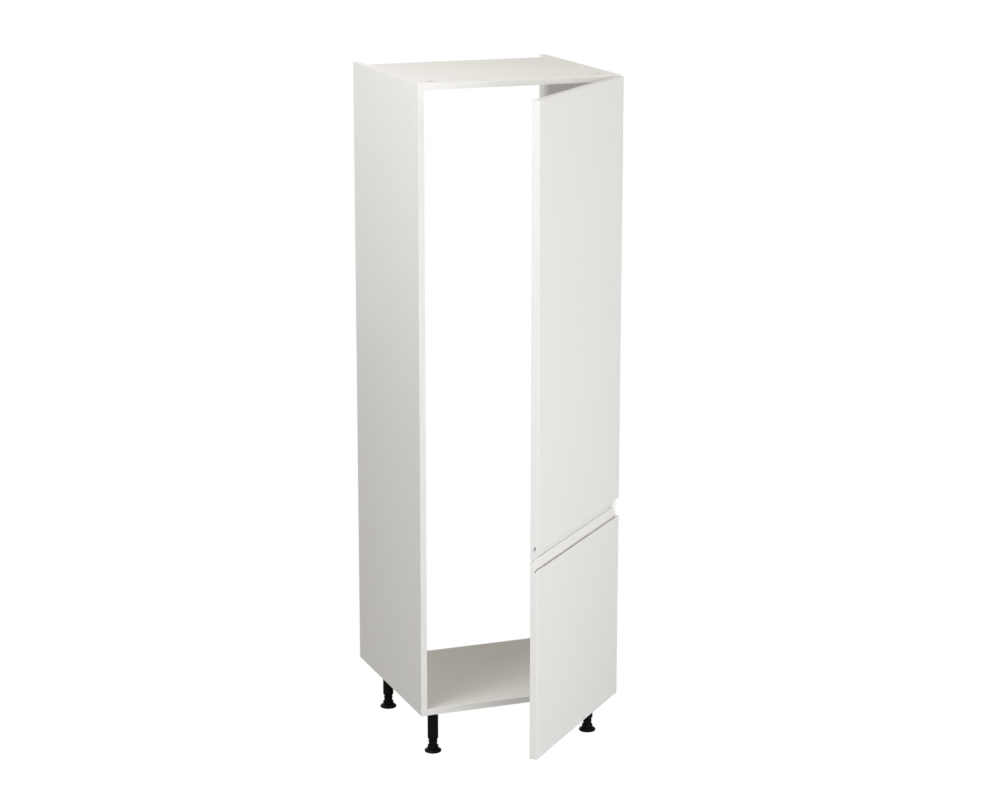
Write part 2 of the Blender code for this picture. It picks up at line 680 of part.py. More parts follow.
def build_hung_door(level, frame, materials):
    """A door on its axis, with its links and the arms that they run in."""
    if level == "upper":
        base = LEG_HEIGHT + DOOR_JOINT_HEIGHT + DOOR_JOINT_GAP / 2
        height, drop, count = UPPER_DOOR_HEIGHT, UPPER_LIP_DROP, UPPER_HINGE_COUNT
        hinges = sorted(height - rise for rise in hinge_heights(height, count))
    else:
        base = LEG_HEIGHT + DOOR_END_REVEAL
        height, drop, count = LOWER_DOOR_HEIGHT, LOWER_LIP_DROP, LOWER_HINGE_COUNT
        hinges = hinge_heights(height, count)
    door_frame = make_frame(level + "_door_axis", (AXIS_X, AXIS_Y, base), frame, DOOR_OPEN_ANGLE)
    build_door(level, door_frame, materials, height, drop, level == "lower", hinges)
    pin = (AXIS_FROM_EDGE - CUP_FROM_EDGE - CUP_PIN_OFFSET, AXIS_FROM_BACK - CUP_PIN_DEPTH, 0.0)
    link_frame = make_frame(level + "_link_axis", pin, door_frame, link_turn())
    build_links(level, link_frame, materials, hinges)
    for number, z in enumerate(hinges, 1):
        build_arm("_".join((level, str(number))), frame, materials, base + z)


def centre_on_origin(frame):
    """Moves the whole cabinet so that the middle of its footprint lies on the origin."""
    bpy.context.view_layer.update()
    graph = bpy.context.evaluated_depsgraph_get()
    corners = []
    for item in bpy.data.objects:
        if item.type == "MESH" and not item.hide_render:
            solid = item.evaluated_get(graph)
            corners += [solid.matrix_world @ vert.co for vert in solid.data.vertices]
    for axis in range(2):
        places = [corner[axis] for corner in corners]
        frame.location[axis] -= (min(places) + max(places)) / 2


def main():
    """Builds the cabinet and stands the middle of its footprint on the origin."""
    for item in list(bpy.data.objects):
        bpy.data.objects.remove(item, do_unlink=True)
    materials = {
        "board": make_material("white_board", (0.80, 0.80, 0.78), 0.45),
        "door": make_material("white_door", (0.83, 0.83, 0.81), 0.40),
        "black": make_material("black_plastic", (0.012, 0.012, 0.012), 0.45),
        "nickel": make_material("nickel_plate", (0.62, 0.61, 0.58), 0.28, 1.0),
        "zinc": make_material("zinc_alloy", (0.45, 0.45, 0.46), 0.42, 1.0),
        "clear": make_material("clear_buffer", (0.75, 0.76, 0.76), 0.30),
    }
    cabinet_frame = make_frame("cabinet_frame", (0.0, 0.0, 0.0))
    build_carcass(cabinet_frame, materials)
    build_cams(cabinet_frame, materials)
    build_legs(cabinet_frame, materials)
    for level in ("upper", "lower"):
        build_hung_door(level, cabinet_frame, materials)
    centre_on_origin(cabinet_frame)


main()
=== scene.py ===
"""Looks of a tall kitchen housing for a built-in fridge-freezer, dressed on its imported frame.

The frame gives every place and outer size. The classes below stand finished pieces in the places of its
plain solids: edged boards, lacquered doors with their J pulls, plated hinges, cam fittings, buffers and
screw legs. All lengths are metres, +Z is up and the doors are at -Y, as in the frame.
"""

import json
import logging
import math
from collections.abc import Callable, Iterable, Sequence
from dataclasses import dataclass
from enum import Enum
from functools import cache
from typing import Any

import bmesh
import bpy
from mathutils import Matrix, Vector

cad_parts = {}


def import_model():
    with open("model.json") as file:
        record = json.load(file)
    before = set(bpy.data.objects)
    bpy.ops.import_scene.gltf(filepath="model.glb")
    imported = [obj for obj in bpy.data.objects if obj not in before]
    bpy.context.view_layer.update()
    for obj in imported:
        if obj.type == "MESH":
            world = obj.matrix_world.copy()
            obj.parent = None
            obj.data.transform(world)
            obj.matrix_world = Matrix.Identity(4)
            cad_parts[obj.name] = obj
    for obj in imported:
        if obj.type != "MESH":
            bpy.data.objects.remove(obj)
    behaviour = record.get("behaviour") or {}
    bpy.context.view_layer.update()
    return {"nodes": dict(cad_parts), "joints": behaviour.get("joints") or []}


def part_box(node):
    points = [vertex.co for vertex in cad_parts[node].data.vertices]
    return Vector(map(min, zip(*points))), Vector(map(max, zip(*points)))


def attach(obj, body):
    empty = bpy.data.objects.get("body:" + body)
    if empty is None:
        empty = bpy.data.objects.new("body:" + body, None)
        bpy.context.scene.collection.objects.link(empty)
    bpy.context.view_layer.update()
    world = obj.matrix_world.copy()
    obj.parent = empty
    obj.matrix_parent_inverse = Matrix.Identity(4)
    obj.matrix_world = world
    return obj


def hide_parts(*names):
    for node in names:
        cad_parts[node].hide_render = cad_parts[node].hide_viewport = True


log = logging.getLogger("fridge_housing")

Outline = list[tuple[float, float]]
Colour = tuple[float, float, float]
Shape = bmesh.types.BMesh
Socket = bpy.types.NodeSocket

MERGE_DISTANCE = 0.000001
SHARP_ANGLE = math.radians(38.0)
QUARTER = math.pi / 2

# The bevel profile that is part of a circle.
CIRCULAR = 0.5

# The play between parts that fit into each other, and how far a carving tool passes the face it opens.
RUNNING_GAP = 0.0003
OVERRUN = 0.002

# Straight steps to the full turn of cups and cams, of bolt bores and of pins, and to a small quarter turn.
ROUND_STEPS = 48
BORE_STEPS = 24
PIN_STEPS = 20
CORNER_STEPS = 6

# What the shared effects' sockets carry, by name. Every other socket carries a number.
SOCKET_KINDS = {"Vector": "Vector", "Stretch": "Vector", "Colour": "Color"}


class Slot(Enum):
    """The record's material slots."""

    BOARD = "white_board"
    DOOR = "white_door"
    PLASTIC = "black_plastic"
    NICKEL = "nickel_plate"
    ZINC = "zinc_alloy"
    BUFFER = "clear_buffer"


class Carving(Enum):
    """What a carving tool does to a piece."""

    CUT = "DIFFERENCE"
    WELD = "UNION"


class Level(Enum):
    """The two doors."""

    UPPER = "upper"
    LOWER = "lower"


# Shapes


def arc(centre: tuple[float, float], radius: float, start: float, end: float, steps: int) -> Outline:
    """Points along an arc.

    Args:
        centre: The arc's centre.
        radius: Its radius.
        start: The angle of the first point, in radians.
        end: The angle of the last point.
        steps: How many straight steps the arc is drawn in.

    Returns:
        The points, both ends included.
    """
    angles = [start + (end - start) * step / steps for step in range(steps + 1)]
    return [(centre[0] + radius * math.cos(a), centre[1] + radius * math.sin(a)) for a in angles]


def rounded_rectangle(low: tuple[float, float], high: tuple[float, float], radius: float) -> Outline:
    """The outline of a rectangle with round corners.

    Args:
        low: Its lowest corner.
        high: Its highest corner.
        radius: The corners' radius.

    Returns:
        The outline, anticlockwise.
    """
    left, right = low[0] + radius, high[0] - radius
    bottom, top = low[1] + radius, high[1] - radius
    outline: Outline = []
    for number, corner in enumerate(((right, bottom), (right, top), (left, top), (left, bottom))):
        start = (number - 1) * QUARTER
        outline += arc(corner, radius, start, start + QUARTER, CORNER_STEPS)
    return outline


def turned(profile: Outline, steps: int) -> Shape:
    """Spins a profile about Z.

    Args:
        profile: Points as (radius, height). A profile that leaves the axis free is closed on itself.
        steps: How many straight steps the full turn is drawn in.

    Returns:
        The closed turned shape.
    """
    shape = bmesh.new()
    verts = [shape.verts.new((radius, 0.0, height)) for radius, height in profile]
    edges = [shape.edges.new(pair) for pair in zip(verts, verts[1:])]
    if profile[0][0] > 0.0 or profile[-1][0] > 0.0:
        edges.append(shape.edges.new((verts[-1], verts[0])))
    axis, centre = (0.0, 0.0, 1.0), (0.0, 0.0, 0.0)
    bmesh.ops.spin(
        shape, geom=verts + edges, axis=axis, cent=centre, angle=math.tau, steps=steps, use_merge=True
    )
    bmesh.ops.remove_doubles(shape, verts=shape.verts, dist=MERGE_DISTANCE)
    return shape


def peg(radius: float, low: float, high: float, steps: int) -> Shape:
    """A plain round peg about Z, from one height to another."""
    return turned([(0.0, low), (radius, low), (radius, high), (0.0, high)], steps)


def domed(radius: float, height: float, rim: float, rises: int, steps: int) -> Shape:
    """A round head on the XY plane, with a straight rim and a crown.

    Args:
        radius: The head's radius.
        height: Its height at the middle.
        rim: The rim's share of that height.
        rises: Straight steps from the rim to the middle.
        steps: Straight steps to the full turn.

    Returns:
        The head.
    """
    turns = [QUARTER * step / rises for step in range(rises)]
    crown = [(radius * math.cos(turn), height * (rim + (1 - rim) * math.sin(turn))) for turn in turns]
    return turned([(0.0, 0.0), (radius, 0.0), *crown, (0.0, height)], steps)


def extruded(outline: Outline, length: float) -> Shape:
    """Pulls a flat outline up.

    Args:
        outline: Points as (x, y).
        length: How far it is pulled along Z.

    Returns:
        The closed shape, on the XY plane.
    """
    shape = bmesh.new()
    face = shape.faces.new([shape.verts.new((x, y, 0.0)) for x, y in outline])
    pulled = bmesh.ops.extrude_face_region(shape, geom=[face])
    moved = [item for item in pulled["geom"] if isinstance(item, bmesh.types.BMVert)]
    bmesh.ops.translate(shape, verts=moved, vec=(0.0, 0.0, length))
    return shape


def block(low: Sequence[float], high: Sequence[float]) -> Shape:
    """A box, as a blank or a carving tool.

    Args:
        low: Its lowest corner.
        high: Its highest corner.

    Returns:
        The box.
    """
    shape = bmesh.new()
    size, middle = Vector(high) - Vector(low), (Vector(high) + Vector(low)) / 2
    matrix = Matrix.Translation(middle) @ Matrix.Diagonal((*size, 1.0))
    bmesh.ops.create_cube(shape, size=1.0, matrix=matrix)
    return shape


def rounded(shape: Shape, width: float, steps: int) -> Shape:
    """Rounds a shape's sharp edges.

    Args:
        shape: The shape, which is changed.
        width: How far the rounding reaches from each edge.
        steps: Straight steps to a rounding.

    Returns:
        The same shape.
    """
    bmesh.ops.recalc_face_normals(shape, faces=shape.faces)
    edges = [edge for edge in shape.edges if edge.calc_face_angle(0.0) > SHARP_ANGLE]
    bmesh.ops.bevel(
        shape, geom=edges, offset=width, segments=steps, profile=CIRCULAR, affect="EDGES", clamp_overlap=True
    )
    return shape


def placed(shape: Shape, matrix: Matrix) -> Shape:
    """The same shape, moved by a matrix."""
    bmesh.ops.transform(shape, matrix=matrix, verts=shape.verts)
    return shape


def facing(direction: Sequence[float], place: Sequence[float]) -> Matrix:
    """Turns local Z to a direction and moves the origin to a place."""
    return Matrix.Translation(Vector(place)) @ Vector(direction).to_track_quat("Z", "Y").to_matrix().to_4x4()


def as_mesh(shape: Shape, name: str) -> bpy.types.Mesh:
    """Makes a mesh of a shape.

    Args:
        shape: The shape, which is used up.
        name: The mesh's name.

    Returns:
        The mesh.
    """
    mesh = bpy.data.meshes.new(name)
    shape.to_mesh(mesh)
    shape.free()
    return mesh


def added(name: str, data: Any) -> bpy.types.Object:
    """Puts a new object in the scene.

    Args:
        name: Its name.
        data: Its mesh, lamp or camera.

    Returns:
        The object.
    """
    thing = bpy.data.objects.new(name, data)
    bpy.context.collection.objects.link(thing)
    return thing


def gathered(shapes: Iterable[Shape]) -> Shape:
    """Joins shapes as they are, each with its faces looking outward.

    Args:
        shapes: The shapes, which are used up.

    Returns:
        One shape that holds them all.
    """
    whole = bmesh.new()
    for shape in shapes:
        bmesh.ops.recalc_face_normals(shape, faces=shape.faces)
        mesh = as_mesh(shape, "gathered")
        whole.from_mesh(mesh)
        bpy.data.meshes.remove(mesh)
    return whole


def carved(shape: Shape, tools: Iterable[Shape], carving: Carving = Carving.CUT) -> Shape:
    """Cuts tools out of a shape, or welds them to it.

    Args:
        shape: The shape to carve, which is used up.
        tools: Closed shapes, which are used up.
        carving: What the tools do.

    Returns:
        The carved shape.
    """
    blank, tool = [added("carving", as_mesh(gathered(group), "carving")) for group in ([shape], tools)]
    change = blank.modifiers.new("carving", "BOOLEAN")
    change.operation = carving.value
    change.object = tool
    result = bmesh.new()
    result.from_mesh(blank.evaluated_get(bpy.context.evaluated_depsgraph_get()).data)
    for thing in (blank, tool):
        mesh = thing.data
        bpy.data.objects.remove(thing)
        bpy.data.meshes.remove(mesh)
    return result


def crossed(shape: Shape, length: float, width: float, floor: float, top: float) -> Shape:
    """Cuts the cross of a screwdriver into a shape that looks up.

    Args:
        shape: The shape, centred on Z, which is used up.
        length: How long each arm of the cross is from end to end.
        width: How wide it is.
        floor: The height of the cross's floor.
        top: A height above the shape.

    Returns:
        The shape with its cross.
    """
    half, thin = length / 2, width / 2
    for x, y in ((half, thin), (thin, half)):
        shape = carved(shape, [block((-x, -y, floor), (x, y, top))])
    return shape


def middle_of(node: str) -> Vector:
    """The middle of a node's box."""
    low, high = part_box(node)
    return (low + high) / 2


# Shader graphs


class Graph:
    """A node tree under construction, for a material or a shared effect."""

    def __init__(self, tree: bpy.types.NodeTree) -> None:
        """Takes the tree that the nodes go into."""
        self.tree = tree

    def feed(self, socket: Socket, value: Any) -> None:
        """Links an output to a socket, or sets the socket's own value.

        Args:
            socket: The socket.
            value: The output or the value.
        """
        if isinstance(value, Socket):
            self.tree.links.new(value, socket)
        else:
            socket.default_value = value

    def fill(self, node: bpy.types.Node, inputs: dict[str, Any]) -> bpy.types.Node:
        """Feeds a node's sockets.

        Args:
            node: The node.
            inputs: For each socket's name a value or another node's output.

        Returns:
            The same node.
        """
        for name, value in inputs.items():
            self.feed(node.inputs[name], value)
        return node

    def add(self, kind: str, **inputs: Any) -> bpy.types.Node:
        """Adds a node of one of Blender's shader kinds and feeds its sockets by name."""
        return self.fill(self.tree.nodes.new("ShaderNode" + kind), inputs)

    def math(self, operation: str, *values: Any) -> Socket:
        """Adds a math node.

        Args:
            operation: The operation's name.
            *values: Its inputs in order.

        Returns:
            The result.
        """
        node = self.add("Math")
        node.operation = operation
        for socket, value in zip(node.inputs, values):
            self.feed(socket, value)
        return node.outputs[0]

    def noise(self, vector: Any, scale: Any, detail: float, roughness: float = 0.5) -> Socket:
        """Adds a noise texture.

        Args:
            vector: Where the noise is read.
            scale: Waves to a metre.
            detail: Octaves.
            roughness: How much the fine octaves count.

        Returns:
            The noise's value, about 0.5 on average.
        """
        node = self.add("TexNoise", Vector=vector, Scale=scale, Detail=detail, Roughness=roughness)
        return node.outputs["Fac"]

    def drift(self, given: Any, detail: float, roughness: float = 0.5) -> Socket:
        """Noise about zero, as coarse and as strong as the inputs Scale and Amount of a group say."""
        noise = self.noise(given["Vector"], given["Scale"], detail, roughness)
        return self.math("MULTIPLY", self.math("SUBTRACT", noise, 0.5), given["Amount"])


def cloudy_tone(graph: Graph, given: Any) -> Socket:
    """A colour that drifts a little lighter and darker over the surface."""
    value = graph.math("ADD", graph.drift(given, detail=2.0), 1.0)
    return graph.add("HueSaturation", Color=given["Colour"], Value=value).outputs["Color"]


def handling(graph: Graph, given: Any) -> Socket:
    """A roughness that wanders where a surface was wiped and handled."""
    return graph.math("ADD", given["Roughness"], graph.drift(given, detail=4.0, roughness=0.6))


def fine_grain(graph: Graph, given: Any) -> Socket:
    """A fine even texture, such as a pressed pearl or a moulded grain.

    Args:
        graph: The group's graph.
        given: The group's inputs.

    Returns:
        The grain's height.
    """
    fine = graph.noise(given["Vector"], given["Scale"], detail=5.0, roughness=0.65)
    cells = graph.add("TexVoronoi", Vector=given["Vector"], Scale=given["Scale"])
    return graph.math("ADD", fine, graph.math("MULTIPLY", cells.outputs["Distance"], given["Cells"]))


def rolled_lines(graph: Graph, given: Any) -> Socket:
    """Fine lines along one axis, as on rolled and plated sheet.

    Args:
        graph: The group's graph.
        given: The group's inputs.

    Returns:
        The lines' height.
    """
    stretched = graph.add("VectorMath", Vector=given["Vector"])
    stretched.operation = "MULTIPLY"
    graph.feed(stretched.inputs[1], given["Stretch"])
    return graph.noise(stretched.outputs["Vector"], given["Scale"], detail=3.0)


def band_seam(graph: Graph, given: Any) -> Socket:
    """A hairline at one depth behind a board's front edge, where its edge band is glued on.

    Args:
        graph: The group's graph.
        given: The group's inputs.

    Returns:
        The hairline's mask.
    """
    depth = graph.add("SeparateXYZ", Vector=given["Vector"]).outputs["Y"]
    off = graph.math("ABSOLUTE", graph.math("SUBTRACT", depth, given["Place"]))
    return graph.math("LESS_THAN", off, given["Width"])


@dataclass(frozen=True)
class Effect:
    """A shader group that several finishes share, with the names of its sockets.

    Its draw function takes the group's graph and inputs and returns what the group gives.
    """

    name: str
    draw: Callable[[Graph, Any], Socket]
    gives: str
    takes: tuple[str, ...]

    @cache
    def group(self) -> bpy.types.NodeTree:
        """Builds the group, which happens once.

        Returns:
            The group's node tree.
        """
        tree = bpy.data.node_groups.new(self.name, "ShaderNodeTree")
        for way, labels in (("INPUT", self.takes), ("OUTPUT", (self.gives,))):
            for label in labels:
                kind = "NodeSocket" + SOCKET_KINDS.get(label, "Float")
                tree.interface.new_socket(name=label, in_out=way, socket_type=kind)
        graph = Graph(tree)
        result = self.draw(graph, tree.nodes.new("NodeGroupInput").outputs)
        graph.fill(tree.nodes.new("NodeGroupOutput"), {self.gives: result})
        return tree

    def place(self, graph: Graph, **inputs: Any) -> Socket:
        """Places the group in a material's graph, with the material's own values.

        Args:
            graph: The material's graph.
            **inputs: What goes into the group's sockets, by name.

        Returns:
            What the group gives.
        """
        node = graph.add("Group")
        node.node_tree = self.group()
        return graph.fill(node, inputs).outputs[self.gives]


CLOUDY_TONE = Effect("cloudy_tone", cloudy_tone, "Colour", ("Vector", "Colour", "Scale", "Amount"))
HANDLING = Effect("handling", handling, "Roughness", ("Vector", "Roughness", "Scale", "Amount"))
FINE_GRAIN = Effect("fine_grain", fine_grain, "Height", ("Vector", "Scale", "Cells"))
ROLLED_LINES = Effect("rolled_lines", rolled_lines, "Height", ("Vector", "Stretch", "Scale"))
BAND_SEAM = Effect("band_seam", band_seam, "Mask", ("Vector", "Place", "Width"))


# Finishes


@dataclass(frozen=True)
class Finish:
    """What every finish has: a drifting tone, a grain in relief and an uneven gloss.

    Scales are in waves to a metre. Drift and smear say how far the tone and the roughness wander.
    """

    name: str
    colour: Colour
    roughness: float
    drift_scale: float = 3.0
    drift: float = 0.02
    grain_scale: float = 2500.0
    grain_cells: float = 0.0
    grain_depth: float = 0.00002
    grain_strength: float = 0.1
    smear_scale: float = 8.0
    smear: float = 0.06

    def material(self) -> bpy.types.Material:
        """Builds the finish.

        Returns:
            The material.
        """
        material = bpy.data.materials.new(self.name)
        material.use_nodes = True
        graph = Graph(material.node_tree)
        vector = graph.add("TexCoord").outputs["Object"]
        tone = CLOUDY_TONE.place(
            graph, Vector=vector, Colour=(*self.colour, 1.0), Scale=self.drift_scale, Amount=self.drift
        )
        gloss = HANDLING.place(
            graph, Vector=vector, Roughness=self.roughness, Scale=self.smear_scale, Amount=self.smear
        )
        relief = self.relief(graph, vector)
        bump = graph.add("Bump", Height=relief, Strength=self.grain_strength, Distance=self.grain_depth)
        looks = {"Base Color": self.tinted(graph, vector, tone), "Roughness": gloss, **self.uniform()}
        shader = graph.fill(material.node_tree.nodes["Principled BSDF"], looks)
        graph.feed(shader.inputs["Normal"], bump.outputs["Normal"])
        return material

    def tinted(self, graph: Graph, vector: Socket, colour: Socket) -> Socket:
        """The colour with the finish's own marks. The plain finish has none."""
        return colour

    def relief(self, graph: Graph, vector: Socket) -> Socket:
        """The height of the finish's grain."""
        return FINE_GRAIN.place(graph, Vector=vector, Scale=self.grain_scale, Cells=self.grain_cells)

    def uniform(self) -> dict[str, float]:
        """What the shader is set to all over the surface, beyond its own values."""
        return {}


@dataclass(frozen=True)
class BoardFinish(Finish):
    """White melamine board with a glued edge band along its front."""

    front: float = 0.0
    band: float = 0.001
    seam_width: float = 0.00012
    seam_colour: Colour = (0.52, 0.52, 0.50)

    def tinted(self, graph: Graph, vector: Socket, colour: Socket) -> Socket:
        """Draws the hairline of the edge band.

        Args:
            graph: The material's graph.
            vector: The place on the board.
            colour: The board's colour.

        Returns:
            The colour with the hairline.
        """
        seam = BAND_SEAM.place(graph, Vector=vector, Place=self.front + self.band, Width=self.seam_width)
        mix = graph.add("Mix")
        mix.data_type = "RGBA"
        return graph.fill(mix, {"Factor": seam, "A": colour, "B": (*self.seam_colour, 1.0)}).outputs["Result"]


@dataclass(frozen=True)
class LacquerFinish(Finish):
    """Sprayed satin lacquer."""

    coat: float = 0.15
    coat_roughness: float = 0.28

    def uniform(self) -> dict[str, float]:
        """Adds the clear coat."""
        return {"Coat Weight": self.coat, "Coat Roughness": self.coat_roughness}


@dataclass(frozen=True)
class PlasticFinish(Finish):
    """Matt moulded plastic, which throws back less light than lacquer."""

    specular: float = 0.14

    def uniform(self) -> dict[str, float]:
        """Dulls the mirror part of the light."""
        return {"Specular IOR Level": self.specular}


@dataclass(frozen=True)
class MetalFinish(Finish):
    """Metal with an even grain, such as die-cast zinc."""

    def uniform(self) -> dict[str, float]:
        """Makes the shader a metal."""
        return {"Metallic": 1.0}


@dataclass(frozen=True)
class SheetFinish(MetalFinish):
    """Plated sheet metal, with rolled lines along one axis."""

    stretch: tuple[float, float, float] = (1.0, 1.0, 0.05)

    def relief(self, graph: Graph, vector: Socket) -> Socket:
        """Rolled lines in place of an even grain."""
        return ROLLED_LINES.place(graph, Vector=vector, Stretch=self.stretch, Scale=self.grain_scale)


@dataclass(frozen=True)
class ClearFinish(Finish):
    """Soft clear plastic."""

    transmission: float = 0.85
    index: float = 1.49

    def uniform(self) -> dict[str, float]:
        """Lets the light through."""
        return {"Transmission Weight": self.transmission, "IOR": self.index}


def build_materials(front: float) -> dict[Slot, bpy.types.Material]:
    """Builds the cabinet's materials.

    Args:
        front: The Y of the boards' front edges, which the edge bands cover.

    Returns:
        The materials by the record's slot.
    """
    finishes: dict[Slot, Finish] = {
        Slot.BOARD: BoardFinish(
            "white_melamine",
            colour=(0.80, 0.793, 0.75),
            roughness=0.42,
            grain_scale=1400.0,
            grain_cells=0.5,
            front=front,
        ),
        Slot.DOOR: LacquerFinish(
            "white_lacquer",
            colour=(0.757, 0.75, 0.716),
            roughness=0.36,
            grain_scale=450.0,
            grain_strength=0.05,
        ),
        Slot.PLASTIC: PlasticFinish(
            "black_moulded_plastic",
            colour=(0.0045, 0.0045, 0.0045),
            roughness=0.5,
            drift=0.2,
            grain_scale=1800.0,
            grain_strength=0.25,
        ),
        Slot.NICKEL: SheetFinish(
            "nickel_plated_steel",
            colour=(0.66, 0.65, 0.62),
            roughness=0.26,
            grain_scale=900.0,
            smear=0.12,
        ),
        Slot.ZINC: MetalFinish(
            "die_cast_zinc",
            colour=(0.56, 0.56, 0.56),
            roughness=0.46,
            grain_scale=1100.0,
            grain_cells=1.0,
        ),
        Slot.BUFFER: ClearFinish("clear_soft_plastic", colour=(0.93, 0.94, 0.94), roughness=0.16),
    }
    return {slot: finish.material() for slot, finish in finishes.items()}


# Pieces


@dataclass
class Workshop:
    """Turns shapes into dressed pieces that ride on the frame."""

    materials: dict[Slot, bpy.types.Material]
    count: int = 0

    def mount(self, name: str, shape: Shape, body: str, slot: Slot, node: str = "") -> None:
        """Makes one piece of the cabinet.

        Args:
            name: The piece's name.
            shape: Its shape in the frame's coordinates, which is used up.
            body: The body that carries it.
            slot: The material slot that it takes its finish from.
            node: The frame's node that it replaces, if there is one.
        """
        bmesh.ops.recalc_face_normals(shape, faces=shape.faces)
        mesh = as_mesh(shape, name)
        mesh.shade_smooth()
        mesh.set_sharp_from_angle(angle=SHARP_ANGLE)
        mesh.materials.append(self.materials[slot])
        piece = added(name, mesh)
        piece.modifiers.new("even_normals", "WEIGHTED_NORMAL").keep_sharp = True
        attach(piece, body)
        if node:
            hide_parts(node)
        self.count += 1
        log.info("%s rides on %s, %d faces", name, body, len(mesh.polygons))

    def keep(self, node: bpy.types.Object, slot: Slot) -> None:
        """Keeps one of the frame's own solids and gives it its finish.

        Args:
            node: The solid.
            slot: The material slot that it takes its finish from.
        """
        node.data.materials.clear()
        node.data.materials.append(self.materials[slot])
        log.info("%s keeps its own shape", node.name)


@dataclass
class Carcass:
    """The four boards with their edge bands, the cam fittings and the bolts."""

    workshop: Workshop
    nodes: dict[str, bpy.types.Object]
    arris: float = 0.0004
    arris_steps: int = 3
    bore_radius: float = 0.0037
    thread_bore_radius: float = 0.0029
    cap_thickness: float = 0.0012
    cap_ease: float = 0.0002
    cam_rim: float = 0.0008
    cam_rim_depth: float = 0.0005
    cross_length: float = 0.0095
    cross_width: float = 0.0019
    cross_depth: float = 0.0022

    def build(self) -> None:
        """Builds the boards and dresses the fittings."""
        bolts = [name for name in self.nodes if name.startswith("cam_bolt_")]
        for side in ("left", "right"):
            self.build_side("side_panel_" + side, [name for name in bolts if name.endswith(side)])
        for level in ("top", "bottom"):
            self.build_shelf(level, [name for name in bolts if "_" + level + "_" in name])
        for name in bolts:
            self.workshop.keep(self.nodes[name], Slot.NICKEL)
        for name in self.nodes:
            if name.startswith("cam_lock_"):
                self.build_cam(name)

    def pocket(self, cam: str) -> Shape:
        """The round pocket of a cam.

        Args:
            cam: The cam's node.

        Returns:
            A carving tool that opens the board's face.
        """
        low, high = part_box(cam)
        under, over = (RUNNING_GAP, OVERRUN) if "top" in cam else (OVERRUN, RUNNING_GAP)
        hole = peg((high.x - low.x) / 2 + RUNNING_GAP, low.z - under, high.z + over, ROUND_STEPS)
        middle = middle_of(cam)
        return placed(hole, Matrix.Translation((middle.x, middle.y, 0.0)))

    def bore(self, bolt: str, radius: float, start: float, end: float) -> Shape:
        """The level bore of a bolt.

        Args:
            bolt: The bolt's node, which gives the axis.
            radius: The bore's radius.
            start: Where it starts, along X.
            end: Where it ends, along X.

        Returns:
            The bore as a carving tool.
        """
        middle = middle_of(bolt)
        hole = peg(radius, min(start, end), max(start, end), BORE_STEPS)
        return placed(hole, facing((1.0, 0.0, 0.0), (0.0, middle.y, middle.z)))

    def build_board(self, name: str, node: str, tools: Sequence[Sequence[Shape]]) -> None:
        """Builds a board with eased edges.

        Args:
            name: The board's name.
            node: The panel's node, which gives its size and place.
            tools: The carving tools, in the groups that cut together.
        """
        shape = rounded(block(*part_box(node)), self.arris, self.arris_steps)
        for group in tools:
            shape = carved(shape, group)
        self.workshop.mount(name, shape, "carcass", Slot.BOARD, node)

    def build_side(self, node: str, bolts: Sequence[str]) -> None:
        """Builds a side panel with the bores of its bolts.

        Args:
            node: The panel's node.
            bolts: Its bolts' nodes.
        """
        inner = min((end.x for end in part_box(node)), key=abs)
        out = math.copysign(1.0, inner)
        bores = []
        for bolt in bolts:
            tip = max((end.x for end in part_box(bolt)), key=abs)
            start, end = inner - out * OVERRUN, tip + out * RUNNING_GAP
            bores.append(self.bore(bolt, self.thread_bore_radius, start, end))
        self.build_board(node.replace("panel", "board"), node, [bores])

    def build_shelf(self, level: str, bolts: Sequence[str]) -> None:
        """Builds the top or the bottom panel with its cam pockets and bores.

        Args:
            level: Top or bottom, as in the node's name.
            bolts: The bolts' nodes.
        """
        low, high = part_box(level + "_panel")
        cams = [bolt.replace("cam_bolt", "cam_lock") for bolt in bolts]
        bores = []
        for bolt, cam in zip(bolts, cams):
            start = middle_of(cam).x
            end = high.x + OVERRUN if start > 0 else low.x - OVERRUN
            bores.append(self.bore(bolt, self.bore_radius, start, end))
        self.build_board(level + "_board", level + "_panel", [[self.pocket(cam) for cam in cams], bores])

    def build_cap(self, name: str) -> None:
        """Builds the white cap over a cam, level with the board's face.

        Args:
            name: The cam's node.
        """
        low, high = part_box(name)
        radius, thick, ease = (high.x - low.x) / 2, self.cap_thickness, self.cap_ease
        profile = [(0.0, -thick), (radius, -thick), (radius, -ease), (radius - ease, 0.0), (0.0, 0.0)]
        middle = middle_of(name)
        shape = placed(turned(profile, ROUND_STEPS), Matrix.Translation((middle.x, middle.y, high.z)))
        self.workshop.mount(name.replace("lock", "cap"), shape, "carcass", Slot.BOARD)

    def build_cam(self, name: str) -> None:
        """Builds a cam with a rim and a cross for the screwdriver, under a cap where it is covered.

        Args:
            name: The cam's node.
        """
        low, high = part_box(name)
        up = "top" in name
        if up and "rear" in name:
            self.build_cap(name)
            high = high - Vector((0.0, 0.0, self.cap_thickness))
        radius, height, rim, dip = (high.x - low.x) / 2, high.z - low.z, self.cam_rim, self.cam_rim_depth
        profile = [(0.0, -height), (radius, -height), (radius, -dip), (radius - dip, 0.0)]
        profile += [(radius - rim, 0.0), (radius - rim - dip, -dip), (0.0, -dip)]
        shape = turned(profile, ROUND_STEPS)
        shape = crossed(shape, self.cross_length, self.cross_width, -self.cross_depth, rim)
        middle, bolt = middle_of(name), name.replace("cam_lock", "cam_bolt")
        place = (middle.x, middle.y, high.z if up else low.z)
        shape = placed(shape, facing((0.0, 0.0, 1.0 if up else -1.0), place))
        least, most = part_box(bolt)
        out = math.copysign(1.0, middle.x)
        start = min(least.x, most.x, key=abs) - out * RUNNING_GAP
        end = middle.x + out * (radius + OVERRUN)
        bore = self.bore(bolt, (most.z - least.z) / 2 + RUNNING_GAP, start, end)
        self.workshop.mount(name + "_turned", carved(shape, [bore]), "carcass", Slot.ZINC, name)


